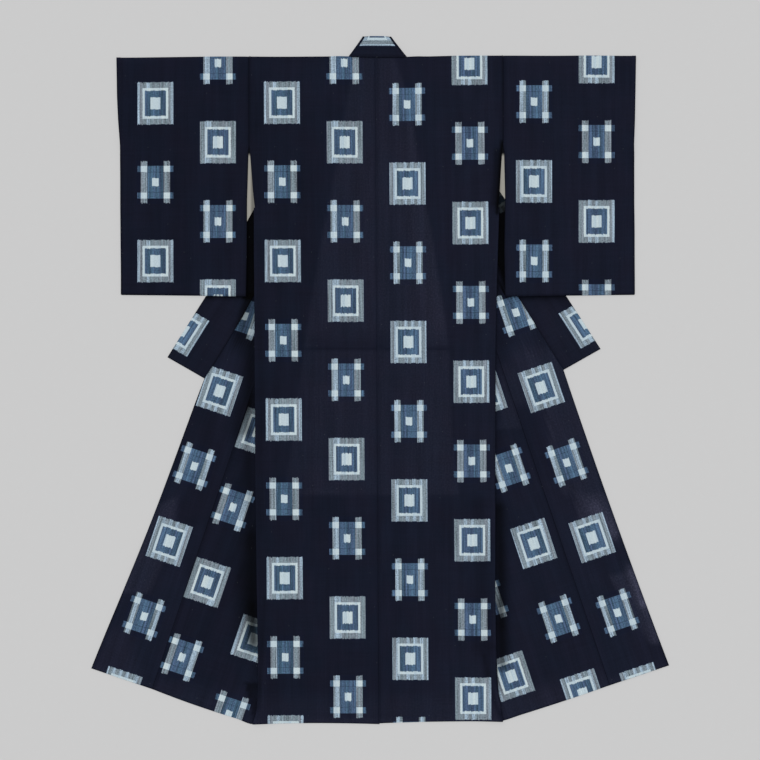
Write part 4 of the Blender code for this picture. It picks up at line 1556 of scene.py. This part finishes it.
class KIMONO_OT_bodies(bpy.types.Operator):
    """Make the two body lengths, each the back, the shoulder and the opened-out front"""

    bl_idname = "kimono.bodies"
    bl_label = "Body Lengths"

    def execute(self, context):
        make_pair(context.scene, "body", make_body)
        return {"FINISHED"}


class KIMONO_OT_sleeves(bpy.types.Operator):
    """Make the two square sleeves"""

    bl_idname = "kimono.sleeves"
    bl_label = "Sleeves"

    def execute(self, context):
        make_pair(context.scene, "sleeve", make_sleeve)
        return {"FINISHED"}


class KIMONO_OT_okumi(bpy.types.Operator):
    """Make the two overlap panels"""

    bl_idname = "kimono.okumi"
    bl_label = "Overlap Panels"

    def execute(self, context):
        make_pair(context.scene, "okumi", make_okumi)
        return {"FINISHED"}


class KIMONO_OT_collar(bpy.types.Operator):
    """Make the collar band with its two arms and its nape"""

    bl_idname = "kimono.collar"
    bl_label = "Collar"

    def execute(self, context):
        make_collar(context.scene.kimono_cloth, dyed_cotton(context.scene, "collar"))
        return {"FINISHED"}


class KIMONO_OT_stitches(bpy.types.Operator):
    """Sew the blind stitches along hems, cuffs and front edges, attach every cloth to the root and hide its
    model part
    """

    bl_idname = "kimono.stitches"
    bl_label = "Stitches"

    def execute(self, context):
        stitching = context.scene.kimono_stitching
        tree, sockets = stitch_tree(thread_finish(stitching))
        lines = stitch_lines(context.scene.kimono_cloth)
        for node in CUT_AREAS:
            if node in lines:
                stitches = make_stitches(node, lines[node], tree, sockets, stitching)
                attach(stitches, "root")
            finished_cloth(bpy.data.objects[f"{node}_cloth"], node)
        return {"FINISHED"}


class KIMONO_PT_panel(bpy.types.Panel):
    """The kimono's settings and steps"""

    bl_idname = "KIMONO_PT_panel"
    bl_label = "Kimono Laid Flat"
    bl_space_type = "VIEW_3D"
    bl_region_type = "UI"
    bl_category = "Kimono"

    def draw(self, context):
        for group in (getattr(context.scene, name) for name in GROUPS):
            box = self.layout.box()
            for name in group.__annotations__:
                box.prop(group, name)
        for step in STEPS:
            self.layout.operator(step.bl_idname)


GROUPS = {
    "kimono_cloth": KimonoCloth,
    "kimono_dye": KimonoDye,
    "kimono_stitching": KimonoStitching,
    "kimono_stage": KimonoStage,
}
STEPS = (
    KIMONO_OT_stage,
    KIMONO_OT_bodies,
    KIMONO_OT_sleeves,
    KIMONO_OT_okumi,
    KIMONO_OT_collar,
    KIMONO_OT_stitches,
)
CLASSES = (*GROUPS.values(), *STEPS, KIMONO_PT_panel)


def register():
    for kind in CLASSES:
        bpy.utils.register_class(kind)
    for name, group in GROUPS.items():
        setattr(bpy.types.Scene, name, bpy.props.PointerProperty(type=group))


def unregister():
    for name in GROUPS:
        delattr(bpy.types.Scene, name)
    for kind in CLASSES[::-1]:
        bpy.utils.unregister_class(kind)


def main():
    register()
    bpy.ops.kimono.stage()
    bpy.ops.kimono.bodies()
    bpy.ops.kimono.sleeves()
    bpy.ops.kimono.okumi()
    bpy.ops.kimono.collar()
    bpy.ops.kimono.stitches()


if __name__ == "__main__":
    main()
